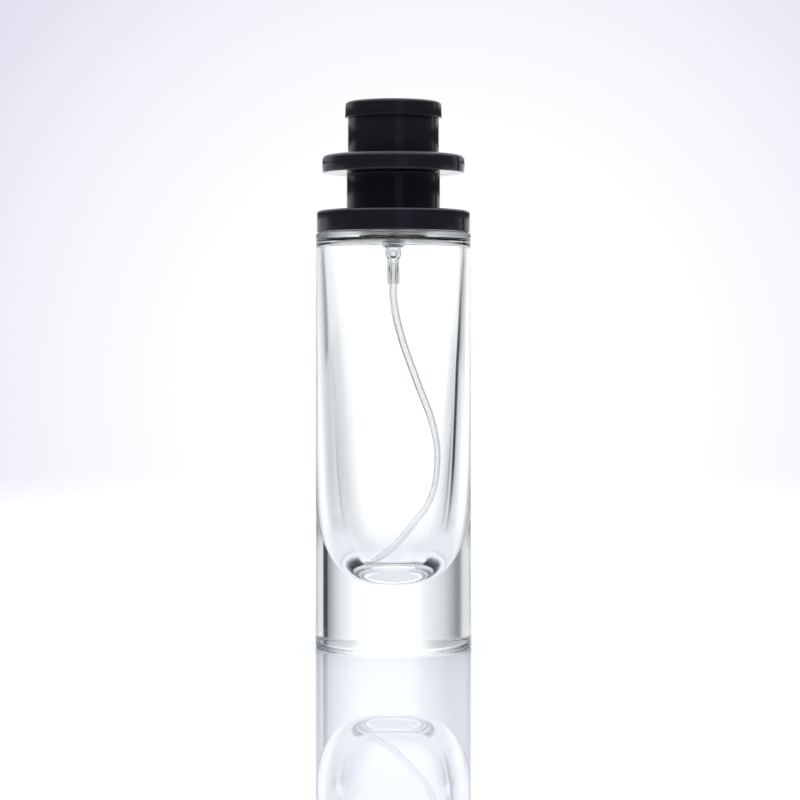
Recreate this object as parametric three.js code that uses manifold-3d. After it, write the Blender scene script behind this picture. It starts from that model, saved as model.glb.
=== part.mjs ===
// A clear glass spray bottle with a crimped fine-mist pump and a stacked black pull-off cap.
// Millimetres, +Z up, with the origin at the centre of the bottle's base.
// The pump is drawn from the bottle's lip and the cap from the top of its collar, each in a group of its own.
import * as THREE from "three";
import { mergeVertices } from "three/addons/utils/BufferGeometryUtils.js";
import Module from "manifold-3d";

const wasm = await Module();
wasm.setup();

// ---- Driving dimensions: glass bottle ----
const SHOULDER_RADIUS = 18.0;
const BASE_FLARE = 0.1;
const SHOULDER_HEIGHT = 96.0;
const SHOULDER_FILLET = 1.4;
const BASE_FILLET = 1.2;
const FOOT_RING_WIDTH = 2.4;
const PUNT_DEPTH = 0.8;
const PUNT_SLOPE = 2.2;
const FLOOR_THICKNESS = 14.9;
const FLOOR_RADIUS = 1.5;
const FLOOR_PULL = 8.5;
const HEEL_HEIGHT = 30.4;
const HEEL_PULL = 0.7;
const TOP_WALL = 1.72;
const WALL_TAPER = 0.065;
const SHOULDER_THICKNESS = 1.5;
const INNER_SHOULDER_DROP = 2.6;
const INNER_SHOULDER_WIDTH = 1.5;
const NECK_BORE_RADIUS = 5.2;
const NECK_WALL = 1.5;
const NECK_HEIGHT = 7.6;
const BEAD_OVERHANG = 0.8;
const BEAD_HEIGHT = 3.6;

// ---- Driving dimensions: pump ----
const STROKE = 4.0;
const PISTON_LAG = 0.5;
const GASKET_THICKNESS = 0.75;
const FLANGE_THICKNESS = 0.8;
const FERRULE_WALL = 0.4;
const CRIMP_LENGTH = 1.3;
const CHAMBER_RADIUS = 2.8;
const CHAMBER_WALL = 0.9;
const SPRING_CHAMBER_RADIUS = 1.95;
const SPRING_CHAMBER_WALL = 0.65;
const RIB_HEIGHT = 0.1;
const RIB_WIDTH = 0.22;
const RIB_SPACING = 0.95;
const RIB_COUNT = 3;
const GLAND_LENGTH = 2.1;
const GLAND_FLANGE_THICKNESS = 0.6;
const GLAND_HEAD = 0.7;
const SEAL_THICKNESS = 0.4;
const STEM_RADIUS = 1.6;
const STEM_BORE = 0.55;
const STEM_NECK_RADIUS = 1.1;
const STEM_PORT_RADIUS = 0.3;
const VALVE_RADIUS = 1.75;
const VALVE_THICKNESS = 1.0;
const PISTON_HEIGHT = 2.4;
const PISTON_LIP_HEIGHT = 0.3;
const PISTON_WAIST = 0.35;
const SPRING_TURNS = 5.5;
const WIRE_RADIUS = 0.18;
const SPRING_SEAT_THICKNESS = 0.85;
const SPRING_SEAT_BORE = 0.7;
const BALL_RADIUS = 1.0;
const BALL_CHAMBER_DEPTH = 2.0;
const BALL_CHAMBER_WALL = 0.65;
const INLET_RADIUS = 0.6;
const INLET_SEAT_DEPTH = 0.7;
const INLET_LENGTH = 1.1;
const TUBE_RADIUS = 0.9;
const TUBE_BORE = 0.55;
const SOCKET_DEPTH = 5.0;
const SOCKET_WALL = 0.45;

// ---- Driving dimensions: spray button ----
const BUTTON_WALL = 1.0;
const BUTTON_ROOM = 0.8;
const BUTTON_ROOF = 2.3;
const BUTTON_DISH = 0.35;
const HUB_WALL = 1.25;
const STEM_ENGAGEMENT = 2.7;
const NOZZLE_RISE = 0.9;
const NOZZLE_RADIUS = 1.55;
const NOZZLE_LENGTH = 2.6;
const NOZZLE_RECESS = 0.35;
const NOZZLE_WALL = 0.45;
const NOZZLE_FACE = 0.9;
const ORIFICE_RADIUS = 0.15;
const FEED_RADIUS = 0.5;

// ---- Driving dimensions: collar and cap ----
const COLLAR_INSET = 0.18;
const COLLAR_HEIGHT = 5.0;
const COLLAR_WALL = 1.22;
const COLLAR_PLATE = 1.4;
const SPIGOT_WALL = 1.1;
const SPIGOT_HEIGHT = 5.5;
const LINER_WALL = 0.5;
const LOWER_SLEEVE_WALL = 1.07;
const LOWER_SLEEVE_HEIGHT = 8.6;
const MIDDLE_RING_OVERHANG = 5.75;
const MIDDLE_RING_HEIGHT = 4.05;
const UPPER_SLEEVE_WALL = 0.8;
const UPPER_SLEEVE_HEIGHT = 8.55;
const TOP_DISC_OVERHANG = 0.7;
const TOP_DISC_TAPER = 0.15;
const TOP_DISC_HEIGHT = 3.75;
const TOP_DISC_RECESS = 0.75;
const CAP_FILLET = 0.7;
const CAP_LIFT_GAP = 0.1;

// ---- Clearances ----
const SEAT_GAP = 0.05;
const RUNNING_GAP = 0.05;
const NECK_GAP = 0.1;
const TRAVEL_GAP = 0.2;

// ---- Fineness of the round shapes ----
const BODY_SEGMENTS = 40;
const PUMP_SEGMENTS = 24;
const BORE_SEGMENTS = 16;
const FILLET_STEPS = 3;
const HEEL_STEPS = 11;
const DOME_STEPS = 5;
const TUBE_STEPS = 42;
const COIL_STEPS = 14;

// ---- Radii that follow, from the neck's bore outwards ----
const baseRadius = SHOULDER_RADIUS + BASE_FLARE;
const neckRadius = NECK_BORE_RADIUS + NECK_WALL;
const beadRadius = neckRadius + BEAD_OVERHANG;
const ferruleBore = beadRadius + NECK_GAP;
const ferruleRadius = ferruleBore + FERRULE_WALL;
const spigotBore = ferruleRadius + NECK_GAP;
const spigotRadius = spigotBore + SPIGOT_WALL;
const linerBore = spigotRadius + RUNNING_GAP;
const linerRadius = linerBore + LINER_WALL;
const sleeveBore = linerRadius + RUNNING_GAP;
const lowerSleeveRadius = sleeveBore + LOWER_SLEEVE_WALL;
const middleRingRadius = lowerSleeveRadius + MIDDLE_RING_OVERHANG;
const upperSleeveRadius = sleeveBore + UPPER_SLEEVE_WALL;
const topDiscRadius = upperSleeveRadius + TOP_DISC_OVERHANG;
const chamberOutside = CHAMBER_RADIUS + CHAMBER_WALL;
const turretBore = chamberOutside + GLAND_FLANGE_THICKNESS / 2;
const turretRadius = turretBore + FERRULE_WALL;
const buttonBore = turretRadius + BUTTON_ROOM;
const buttonRadius = buttonBore + BUTTON_WALL;
const stemGuide = STEM_RADIUS + RUNNING_GAP * 2;
const socketBore = TUBE_RADIUS + RUNNING_GAP * 0.6;
const ballChamberRadius = BALL_RADIUS + 4 * RUNNING_GAP;

// ---- Heights of the pump that follow, measured from the bottle's lip ----
const lipHeight = SHOULDER_HEIGHT + NECK_HEIGHT;
const gasketTop = SEAT_GAP + GASKET_THICKNESS;
const flangeBottom = gasketTop + SEAT_GAP;
const flangeTop = flangeBottom + FLANGE_THICKNESS;
const ferruleCeiling = flangeTop + SEAT_GAP;
const ferruleTop = ferruleCeiling + FERRULE_WALL;
const glandBottom = flangeTop - GLAND_LENGTH;
const glandShoulder = ferruleCeiling + GLAND_FLANGE_THICKNESS;
const glandTop = glandShoulder + GLAND_HEAD;
const sealTop = glandTop + SEAT_GAP + SEAL_THICKNESS;
const turretCeiling = sealTop + SEAT_GAP;
const turretTop = turretCeiling + FERRULE_WALL;
const pistonTop = glandBottom - TRAVEL_GAP - RUNNING_GAP * 2;
const pistonBottom = pistonTop - PISTON_HEIGHT;
const pistonStroke = STROKE - PISTON_LAG;
const stemShoulder = pistonTop + PISTON_LAG + SEAT_GAP;
const valveTop = pistonBottom - SEAT_GAP;
const valveBottom = valveTop - VALVE_THICKNESS;
const springTop = valveBottom - SEAT_GAP;
const springBottom = springTop - STROKE - SPRING_TURNS * 2 * WIRE_RADIUS;
const springSeatTop = springBottom - SEAT_GAP;
const springSeatBottom = springSeatTop - SPRING_SEAT_THICKNESS;
const springLedge = springSeatBottom - SEAT_GAP;
const chamberBottom = pistonBottom - pistonStroke - TRAVEL_GAP - 3 * RUNNING_GAP;
const inletSeatTop = springLedge - BALL_CHAMBER_DEPTH;
const inletSeatBottom = inletSeatTop - INLET_SEAT_DEPTH;
const tubeStop = inletSeatBottom - INLET_LENGTH;
const socketBottom = tubeStop - SOCKET_DEPTH;
const buttonBottom = ferruleTop + STROKE + TRAVEL_GAP;
const hubBottom = turretTop + STROKE + TRAVEL_GAP;
const stemTop = hubBottom + STEM_ENGAGEMENT;
const nozzleHeight = stemTop + NOZZLE_RISE;
const buttonTop = nozzleHeight + BUTTON_ROOF;

// ---- Heights of the cap that follow, measured from the collar's top ----
const collarTop = SHOULDER_HEIGHT + COLLAR_HEIGHT;
const lowerSleeveTop = CAP_LIFT_GAP + LOWER_SLEEVE_HEIGHT;
const middleRingBottom = lowerSleeveTop + SEAT_GAP;
const middleRingTop = middleRingBottom + MIDDLE_RING_HEIGHT;
const upperSleeveBottom = middleRingTop + SEAT_GAP;
const upperSleeveTop = upperSleeveBottom + UPPER_SLEEVE_HEIGHT;
const topDiscBottom = upperSleeveTop + SEAT_GAP;
const topDiscTop = topDiscBottom + TOP_DISC_HEIGHT;
const capCeiling = topDiscBottom + TOP_DISC_RECESS;

// ---- The dip tube's route, from its socket to its tip: how far out, as a share of its reach, and how far down,
// as a share of its drop. It hangs in one upright plane, leans towards the wall and curls back under the pump.
const TUBE_AZIMUTH = THREE.MathUtils.degToRad(21);
const TUBE_WALL_GAP = 0.45;
const TUBE_TIP_CLEARANCE = 3.05;
const TUBE_ROUTE = [
  [0, 0],
  [0, 0.05],
  [0.154, 0.178],
  [0.482, 0.336],
  [0.93, 0.538],
  [1, 0.63],
  [0.838, 0.767],
  [0.4, 0.865],
  [-0.085, 0.957],
  [-0.45, 1],
];

// ---- Materials ----

/** A material of its own for one piece. */
function finish(color, roughness, metalness = 0, opacity = 1) {
  return new THREE.MeshStandardMaterial({ color, roughness, metalness, opacity, transparent: opacity < 1 });
}

const clearGlass = () => finish(0xdfe9e8, 0.03, 0, 0.35);
const blackGloss = () => finish(0x1d1e22, 0.16);
const clearPlastic = () => finish(0xe6ebea, 0.2, 0, 0.6);
const whitePlastic = () => finish(0xe9ebea, 0.4);
const rubber = () => finish(0xc9cccb, 0.7);
const aluminium = () => finish(0xc7c9cc, 0.3, 1);
const steel = () => finish(0xb4b7ba, 0.25, 1);

// ---- Shaping helpers ----

/** A named mesh. */
function piece(name, geometry, material) {
  const mesh = new THREE.Mesh(geometry, material);
  mesh.name = name;
  return mesh;
}

/** A corner of a turned outline, rounded off by a fillet if it has one. */
function corner(radius, height, fillet = 0) {
  return { at: new THREE.Vector2(radius, height), fillet };
}

/** Points along a curve as plain corners. */
function along(curve, steps) {
  return curve.getPoints(steps).map((p) => corner(p.x, p.y));
}

/** The points of an outline, with each filleted corner turned into a short curve. */
function rounded(corners) {
  return corners.flatMap(({ at, fillet }, i) => {
    if (!fillet) return [at];
    const before = corners.at(i - 1).at.clone().sub(at);
    const after = corners[(i + 1) % corners.length].at.clone().sub(at);
    const halfAngle = Math.abs(before.angleTo(after)) / 2;
    const wanted = fillet / Math.tan(halfAngle);
    const run = Math.min(wanted, before.length() * 0.95, after.length() * 0.95);
    const from = at.clone().add(before.setLength(run));
    const to = at.clone().add(after.setLength(run));
    return new THREE.QuadraticBezierCurve(from, at, to).getPoints(FILLET_STEPS);
  });
}

/** A solid turned about Z from an outline that runs up the outside and down the inside. */
function turned(corners, segments) {
  const points = rounded(corners);
  const onAxis = points[0].x === 0 && points.at(-1).x === 0;
  if (!onAxis) points.push(points[0].clone());
  return new THREE.LatheGeometry(points, segments).rotateX(Math.PI / 2);
}

/** A plain tube or ring between two radii and two heights, with its outer top edge eased. */
function ring(inner, outer, bottom, top, segments, fillet = 0) {
  return turned(
    [corner(inner, bottom), corner(outer, bottom), corner(outer, top, fillet), corner(inner, top)],
    segments,
  );
}

/** A cylinder along Z from one height to another. */
function pin(radius, bottom, top) {
  return new THREE.CylinderGeometry(radius, radius, top - bottom, BORE_SEGMENTS)
    .rotateX(Math.PI / 2)
    .translate(0, 0, (top + bottom) / 2);
}

/** A three.js geometry as a manifold-3d solid. */
function solidOf(geometry) {
  const bare = geometry.clone().deleteAttribute("normal").deleteAttribute("uv");
  const merged = mergeVertices(bare);
  const vertProperties = new Float32Array(merged.attributes.position.array);
  const triVerts = new Uint32Array(merged.index.array);
  return new wasm.Manifold(new wasm.Mesh({ numProp: 3, vertProperties, triVerts }));
}

/** A geometry with other geometries cut out of it. */
function cut(geometry, cutters) {
  const solid = cutters.reduce((rest, cutter) => rest.subtract(solidOf(cutter)), solidOf(geometry));
  const { vertProperties, triVerts } = solid.getMesh();
  return new THREE.BufferGeometry()
    .setAttribute("position", new THREE.BufferAttribute(vertProperties, 3))
    .setIndex(new THREE.BufferAttribute(triVerts, 1));
}

/** A round section swept along a path, hollow if it has a bore. */
function swept(path, steps, radius, bore = 0) {
  const section = new THREE.Shape().absarc(0, 0, radius, 0, Math.PI * 2);
  if (bore > 0) section.holes.push(new THREE.Path().absarc(0, 0, bore, 0, Math.PI * 2));
  return new THREE.ExtrudeGeometry(section, { steps, curveSegments: 4, bevelEnabled: false, extrudePath: path });
}

// ---- Glass bottle ----

/** A point on the cavity's tapering wall, as (radius, height). */
function cavityWall(height) {
  const wallTop = SHOULDER_HEIGHT - SHOULDER_THICKNESS - INNER_SHOULDER_DROP;
  return new THREE.Vector2(SHOULDER_RADIUS - TOP_WALL - WALL_TAPER * (wallTop - height), height);
}

/** The cavity's outline, from the inner shoulder down its wall to the middle of its bowl-shaped floor. */
function cavityOutline() {
  const heel = FLOOR_THICKNESS + HEEL_HEIGHT;
  const ceiling = SHOULDER_HEIGHT - SHOULDER_THICKNESS;
  const wallTop = cavityWall(ceiling - INNER_SHOULDER_DROP);
  const dome = new THREE.CubicBezierCurve(
    new THREE.Vector2(wallTop.x - INNER_SHOULDER_WIDTH, ceiling),
    new THREE.Vector2(wallTop.x - INNER_SHOULDER_WIDTH * (1 - HEEL_PULL), ceiling),
    cavityWall(ceiling - INNER_SHOULDER_DROP / 2),
    wallTop,
  );
  const heelCurve = new THREE.CubicBezierCurve(
    cavityWall(heel),
    cavityWall(heel - HEEL_HEIGHT * HEEL_PULL),
    new THREE.Vector2(FLOOR_RADIUS + FLOOR_PULL, FLOOR_THICKNESS),
    new THREE.Vector2(FLOOR_RADIUS, FLOOR_THICKNESS),
  );
  return [
    corner(NECK_BORE_RADIUS, ceiling, NECK_WALL / 2),
    ...along(dome, DOME_STEPS),
    ...along(heelCurve, HEEL_STEPS),
    corner(0, FLOOR_THICKNESS),
  ];
}

function glassBottle() {
  const beadBottom = lipHeight - BEAD_HEIGHT;
  const footOuter = baseRadius - BASE_FILLET;
  const footInner = footOuter - FOOT_RING_WIDTH;
  const outline = [
    corner(0, PUNT_DEPTH),
    corner(footInner - PUNT_SLOPE, PUNT_DEPTH),
    corner(footInner, 0),
    corner(baseRadius, 0, BASE_FILLET),
    corner(SHOULDER_RADIUS, SHOULDER_HEIGHT, SHOULDER_FILLET),
    corner(neckRadius, SHOULDER_HEIGHT, NECK_WALL / 3),
    corner(neckRadius, beadBottom - BEAD_OVERHANG),
    corner(beadRadius, beadBottom),
    corner(beadRadius, lipHeight, NECK_WALL / 4),
    corner(NECK_BORE_RADIUS, lipHeight, NECK_WALL / 5),
    ...cavityOutline(),
  ];
  return piece("glass_bottle", turned(outline, BODY_SEGMENTS), clearGlass());
}

// ---- Pump ----

function neckGasket() {
  const geometry = ring(NECK_BORE_RADIUS, beadRadius - NECK_GAP, SEAT_GAP, gasketTop, PUMP_SEGMENTS);
  return piece("neck_gasket", geometry, rubber());
}

/** The aluminium cup that holds the pump down: a skirt crimped under the bead and a turret over the gland. */
function crimpFerrule() {
  const crimpTop = -BEAD_HEIGHT - SEAT_GAP;
  const crimpRadius = neckRadius + BEAD_OVERHANG / 3;
  const outline = [
    corner(crimpRadius, crimpTop - CRIMP_LENGTH),
    corner(ferruleRadius, crimpTop),
    corner(ferruleRadius, ferruleTop, FERRULE_WALL * 1.5),
    corner(turretRadius, ferruleTop),
    corner(turretRadius, turretTop, FERRULE_WALL),
    corner(stemGuide + FERRULE_WALL, turretTop),
    corner(stemGuide + FERRULE_WALL, turretCeiling),
    corner(turretBore, turretCeiling),
    corner(turretBore, ferruleCeiling),
    corner(ferruleBore, ferruleCeiling),
    corner(ferruleBore, crimpTop),
    corner(crimpRadius, crimpTop - BEAD_OVERHANG),
  ];
  return piece("crimp_ferrule", turned(outline, BODY_SEGMENTS), aluminium());
}

/** The fine ribs round the spring chamber, from the lowest up. */
function housingRibs() {
  const radius = SPRING_CHAMBER_RADIUS + SPRING_CHAMBER_WALL;
  return Array.from({ length: RIB_COUNT }, (_, i) => springLedge + RIB_SPACING * (i + 0.5)).flatMap((height) => [
    corner(radius, height),
    corner(radius + RIB_HEIGHT, height + RIB_WIDTH / 4),
    corner(radius + RIB_HEIGHT, height + (RIB_WIDTH * 3) / 4),
    corner(radius, height + RIB_WIDTH),
  ]);
}

function pumpHousing() {
  const socketRadius = socketBore + SOCKET_WALL;
  const ballChamberOutside = ballChamberRadius + BALL_CHAMBER_WALL;
  const springChamberOutside = SPRING_CHAMBER_RADIUS + SPRING_CHAMBER_WALL;
  const stepDrop = CHAMBER_RADIUS - SPRING_CHAMBER_RADIUS;
  const outline = [
    corner(socketBore, socketBottom),
    corner(socketRadius, socketBottom),
    corner(socketRadius, inletSeatBottom - TRAVEL_GAP),
    corner(ballChamberOutside, inletSeatTop - TRAVEL_GAP),
    corner(ballChamberOutside, springLedge - TRAVEL_GAP),
    corner(springChamberOutside, springLedge - TRAVEL_GAP, SPRING_CHAMBER_WALL / 3),
    ...housingRibs(),
    corner(springChamberOutside, chamberBottom - stepDrop),
    corner(chamberOutside, chamberBottom),
    corner(chamberOutside, flangeBottom),
    corner(beadRadius - TRAVEL_GAP, flangeBottom),
    corner(beadRadius - TRAVEL_GAP, flangeTop),
    corner(CHAMBER_RADIUS, flangeTop),
    corner(CHAMBER_RADIUS, chamberBottom),
    corner(SPRING_CHAMBER_RADIUS, chamberBottom - stepDrop),
    corner(SPRING_CHAMBER_RADIUS, springLedge),
    corner(ballChamberRadius, springLedge),
    corner(ballChamberRadius, inletSeatTop),
    corner(INLET_RADIUS, inletSeatBottom),
    corner(INLET_RADIUS, tubeStop),
    corner(socketBore, tubeStop),
  ];
  return piece("pump_housing", turned(outline, PUMP_SEGMENTS), clearPlastic());
}

/** The plug in the housing's mouth that guides the stem and keeps the piston in. */
function housingGland() {
  const outline = [
    corner(stemGuide, glandBottom),
    corner(CHAMBER_RADIUS - RUNNING_GAP, glandBottom),
    corner(CHAMBER_RADIUS - RUNNING_GAP, ferruleCeiling),
    corner(turretBore - NECK_GAP, ferruleCeiling),
    corner(turretBore - NECK_GAP, glandShoulder),
    corner(CHAMBER_RADIUS + RUNNING_GAP, glandTop),
    corner(stemGuide, glandTop),
  ];
  return piece("housing_gland", turned(outline, PUMP_SEGMENTS), whitePlastic());
}

function stemSeal() {
  const bottom = glandTop + SEAT_GAP;
  const geometry = ring(STEM_RADIUS + RUNNING_GAP, turretBore - NECK_GAP * 2, bottom, sealTop, PUMP_SEGMENTS);
  return piece("stem_seal", geometry, rubber());
}

/** The hollow stem: the button's end is open, the other is the outlet valve's head under the piston. */
function stem() {
  const boreBottom = valveTop + VALVE_THICKNESS * 0.8;
  const portHeight = (boreBottom + stemShoulder) / 2;
  const outline = [
    corner(0, valveBottom),
    corner(VALVE_RADIUS, valveBottom),
    corner(VALVE_RADIUS, valveTop),
    corner(STEM_NECK_RADIUS, valveTop),
    corner(STEM_NECK_RADIUS, stemShoulder),
    corner(STEM_RADIUS, stemShoulder),
    corner(STEM_RADIUS, stemTop),
    corner(STEM_BORE, stemTop),
    corner(STEM_BORE, boreBottom),
    corner(0, boreBottom),
  ];
  const port = pin(STEM_PORT_RADIUS, -STEM_RADIUS, STEM_RADIUS)
    .rotateY(Math.PI / 2)
    .translate(0, 0, portHeight);
  return piece("stem", cut(turned(outline, PUMP_SEGMENTS), [port]), whitePlastic());
}

/** The piston: a waisted plug with a sealing lip at each end. */
function piston() {
  const lip = CHAMBER_RADIUS - RUNNING_GAP;
  const waist = lip - PISTON_WAIST;
  const bore = STEM_NECK_RADIUS + 2 * RUNNING_GAP;
  const outline = [
    corner(bore, pistonBottom),
    corner(lip, pistonBottom),
    corner(lip, pistonBottom + PISTON_LIP_HEIGHT),
    corner(waist, pistonBottom + 2 * PISTON_LIP_HEIGHT),
    corner(waist, pistonTop - 2 * PISTON_LIP_HEIGHT),
    corner(lip, pistonTop - PISTON_LIP_HEIGHT),
    corner(lip, pistonTop),
    corner(bore, pistonTop),
  ];
  return piece("piston", turned(outline, PUMP_SEGMENTS), whitePlastic());
}

/** The return spring's centreline. */
class Helix extends THREE.Curve {
  constructor(radius, bottom, top, turns) {
    super();
    Object.assign(this, { radius, bottom, top, turns });
  }

  getPoint(t, target = new THREE.Vector3()) {
    const angle = t * this.turns * Math.PI * 2;
    const height = THREE.MathUtils.lerp(this.bottom, this.top, t);
    return target.set(this.radius * Math.cos(angle), this.radius * Math.sin(angle), height);
  }
}

function returnSpring() {
  const coilRadius = SPRING_CHAMBER_RADIUS - WIRE_RADIUS * 2.5;
  const path = new Helix(coilRadius, springBottom + WIRE_RADIUS, springTop - WIRE_RADIUS, SPRING_TURNS);
  const steps = Math.round(SPRING_TURNS * COIL_STEPS);
  return piece("return_spring", swept(path, steps, WIRE_RADIUS), steel());
}

function springSeat() {
  const outer = SPRING_CHAMBER_RADIUS - RUNNING_GAP;
  const geometry = ring(SPRING_SEAT_BORE, outer, springSeatBottom, springSeatTop, PUMP_SEGMENTS);
  return piece("spring_seat", geometry, whitePlastic());
}

/** The inlet ball, lying on the cone of its seat. */
function inletBall() {
  const slope = new THREE.Vector2(ballChamberRadius - INLET_RADIUS, INLET_SEAT_DEPTH);
  const reach = (BALL_RADIUS + SEAT_GAP) * slope.length();
  const height = inletSeatBottom + (reach - INLET_RADIUS * slope.y) / slope.x;
  const ball = piece("inlet_ball", new THREE.SphereGeometry(BALL_RADIUS, BORE_SEGMENTS, 10), clearGlass());
  ball.position.z = height;
  return ball;
}

function dipTube() {
  const reach = cavityWall(FLOOR_THICKNESS + HEEL_HEIGHT).x - TUBE_RADIUS - TUBE_WALL_GAP;
  const top = socketBottom;
  const tip = FLOOR_THICKNESS + TUBE_TIP_CLEARANCE - lipHeight;
  const route = TUBE_ROUTE.map(([out, down]) => {
    const distance = out * reach;
    const height = THREE.MathUtils.lerp(top, tip, down);
    return new THREE.Vector3(distance * Math.cos(TUBE_AZIMUTH), distance * Math.sin(TUBE_AZIMUTH), height);
  });
  const inSocket = new THREE.Vector3(0, 0, tubeStop - SEAT_GAP);
  const path = new THREE.CatmullRomCurve3([inSocket, ...route]);
  return piece("dip_tube", swept(path, TUBE_STEPS, TUBE_RADIUS, TUBE_BORE), clearPlastic());
}

// ---- Spray button ----

function actuatorButton() {
  const socketTop = stemTop + SEAT_GAP;
  const socket = STEM_RADIUS + RUNNING_GAP;
  const pocketRadius = NOZZLE_RADIUS + RUNNING_GAP;
  const roof = nozzleHeight - pocketRadius - BUTTON_WALL / 2;
  const outline = [
    corner(0, socketTop),
    corner(socket, socketTop),
    corner(socket, hubBottom),
    corner(socket + HUB_WALL, hubBottom),
    corner(socket + HUB_WALL, roof),
    corner(buttonBore, roof),
    corner(buttonBore, buttonBottom),
    corner(buttonRadius, buttonBottom),
    corner(buttonRadius, buttonTop, BUTTON_WALL / 2),
    corner(buttonRadius - BUTTON_WALL, buttonTop),
    corner(0, buttonTop - BUTTON_DISH),
  ];
  const pocketBack = buttonRadius - NOZZLE_RECESS - NOZZLE_LENGTH - SEAT_GAP;
  const riser = pin(FEED_RADIUS, socketTop - SEAT_GAP, nozzleHeight);
  const feed = pin(FEED_RADIUS, -FEED_RADIUS, pocketBack + SEAT_GAP);
  const pocket = pin(pocketRadius, pocketBack, buttonRadius + BUTTON_WALL);
  const towardsFront = [feed, pocket].map((g) => g.rotateX(Math.PI / 2).translate(0, 0, nozzleHeight));
  const geometry = cut(turned(outline, PUMP_SEGMENTS), [riser, ...towardsFront]);
  return piece("actuator_button", geometry, blackGloss());
}

/** The nozzle: a cup pressed into the button's pocket, with the spray orifice in its face. */
function nozzleInsert() {
  const face = NOZZLE_LENGTH - NOZZLE_FACE;
  const outline = [
    corner(NOZZLE_RADIUS - NOZZLE_WALL, 0),
    corner(NOZZLE_RADIUS, 0),
    corner(NOZZLE_RADIUS, NOZZLE_LENGTH),
    corner(FEED_RADIUS, NOZZLE_LENGTH),
    corner(ORIFICE_RADIUS, NOZZLE_LENGTH - NOZZLE_FACE / 2),
    corner(ORIFICE_RADIUS, face),
    corner(NOZZLE_RADIUS - NOZZLE_WALL, face),
  ];
  const insert = piece("nozzle_insert", turned(outline, BORE_SEGMENTS), blackGloss());
  insert.rotation.x = Math.PI / 2;
  insert.position.set(0, -(buttonRadius - NOZZLE_RECESS - NOZZLE_LENGTH), nozzleHeight);
  return insert;
}

// ---- Collar and cap ----

/** The black collar that stays on the bottle: a flange over the shoulder and a spigot that the cap grips. */
function shoulderCollar() {
  const outer = SHOULDER_RADIUS - COLLAR_INSET;
  const wallInside = outer - COLLAR_WALL;
  const plateBottom = COLLAR_HEIGHT - COLLAR_PLATE;
  const spigotTop = COLLAR_HEIGHT + SPIGOT_HEIGHT;
  const outline = [
    corner(wallInside, SEAT_GAP),
    corner(outer, SEAT_GAP),
    corner(outer, COLLAR_HEIGHT, CAP_FILLET),
    corner(spigotRadius, COLLAR_HEIGHT),
    corner(spigotRadius, spigotTop, CAP_FILLET / 2),
    corner(spigotBore, spigotTop),
    corner(spigotBore, TRAVEL_GAP),
    corner(spigotRadius, TRAVEL_GAP),
    corner(spigotRadius, plateBottom),
    corner(wallInside, plateBottom),
  ];
  const collar = piece("shoulder_collar", turned(outline, BODY_SEGMENTS), blackGloss());
  collar.position.z = SHOULDER_HEIGHT;
  return collar;
}

/** The liner that holds the stacked rings together and slides over the collar's spigot. */
function capLiner() {
  const bottom = CAP_LIFT_GAP + SEAT_GAP;
  const geometry = ring(linerBore, linerRadius, bottom, capCeiling - SEAT_GAP, BODY_SEGMENTS);
  return piece("cap_liner", geometry, blackGloss());
}

function capRings() {
  const lower = ring(sleeveBore, lowerSleeveRadius, CAP_LIFT_GAP, lowerSleeveTop, BODY_SEGMENTS);
  const middle = ring(sleeveBore, middleRingRadius, middleRingBottom, middleRingTop, BODY_SEGMENTS, CAP_FILLET);
  const upper = ring(sleeveBore, upperSleeveRadius, upperSleeveBottom, upperSleeveTop, BODY_SEGMENTS);
  return [
    piece("cap_lower_sleeve", lower, blackGloss()),
    piece("cap_middle_ring", middle, blackGloss()),
    piece("cap_upper_sleeve", upper, blackGloss()),
  ];
}

/** The closed end of the cap, recessed underneath to sit over the liner. */
function capTopDisc() {
  const outline = [
    corner(0, capCeiling),
    corner(sleeveBore, capCeiling),
    corner(sleeveBore, topDiscBottom),
    corner(topDiscRadius, topDiscBottom),
    corner(topDiscRadius - TOP_DISC_TAPER, topDiscTop, CAP_FILLET),
    corner(0, topDiscTop),
  ];
  return piece("cap_top_disc", turned(outline, BODY_SEGMENTS), blackGloss());
}

// ---- Assembly ----

const pump = new THREE.Group();
pump.position.z = lipHeight;
pump.add(neckGasket(), crimpFerrule(), pumpHousing(), housingGland(), stemSeal());
pump.add(stem(), piston(), returnSpring(), springSeat(), inletBall(), dipTube());
pump.add(actuatorButton(), nozzleInsert());

const cap = new THREE.Group();
cap.position.z = collarTop;
cap.add(capLiner(), ...capRings(), capTopDisc());

const sprayBottle = new THREE.Group();
sprayBottle.add(glassBottle(), shoulderCollar(), pump, cap);

export default sprayBottle;
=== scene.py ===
"""A clear glass spray bottle with a crimped mist pump and a stacked black cap, dressed on its CAD frame.

Every sub-assembly is a class: its fields are sizes in millimetres, and what it has to meet is read from the
frame. The pieces are turned, swept and cut with Blender's own mesh operators, ride on the frame's bodies and
stand for the frame's plain solids.
"""

import logging
import math
from dataclasses import dataclass, field
from enum import Enum
from typing import Callable, Iterable, Sequence

import bpy
from mathutils import Matrix, Vector

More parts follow.
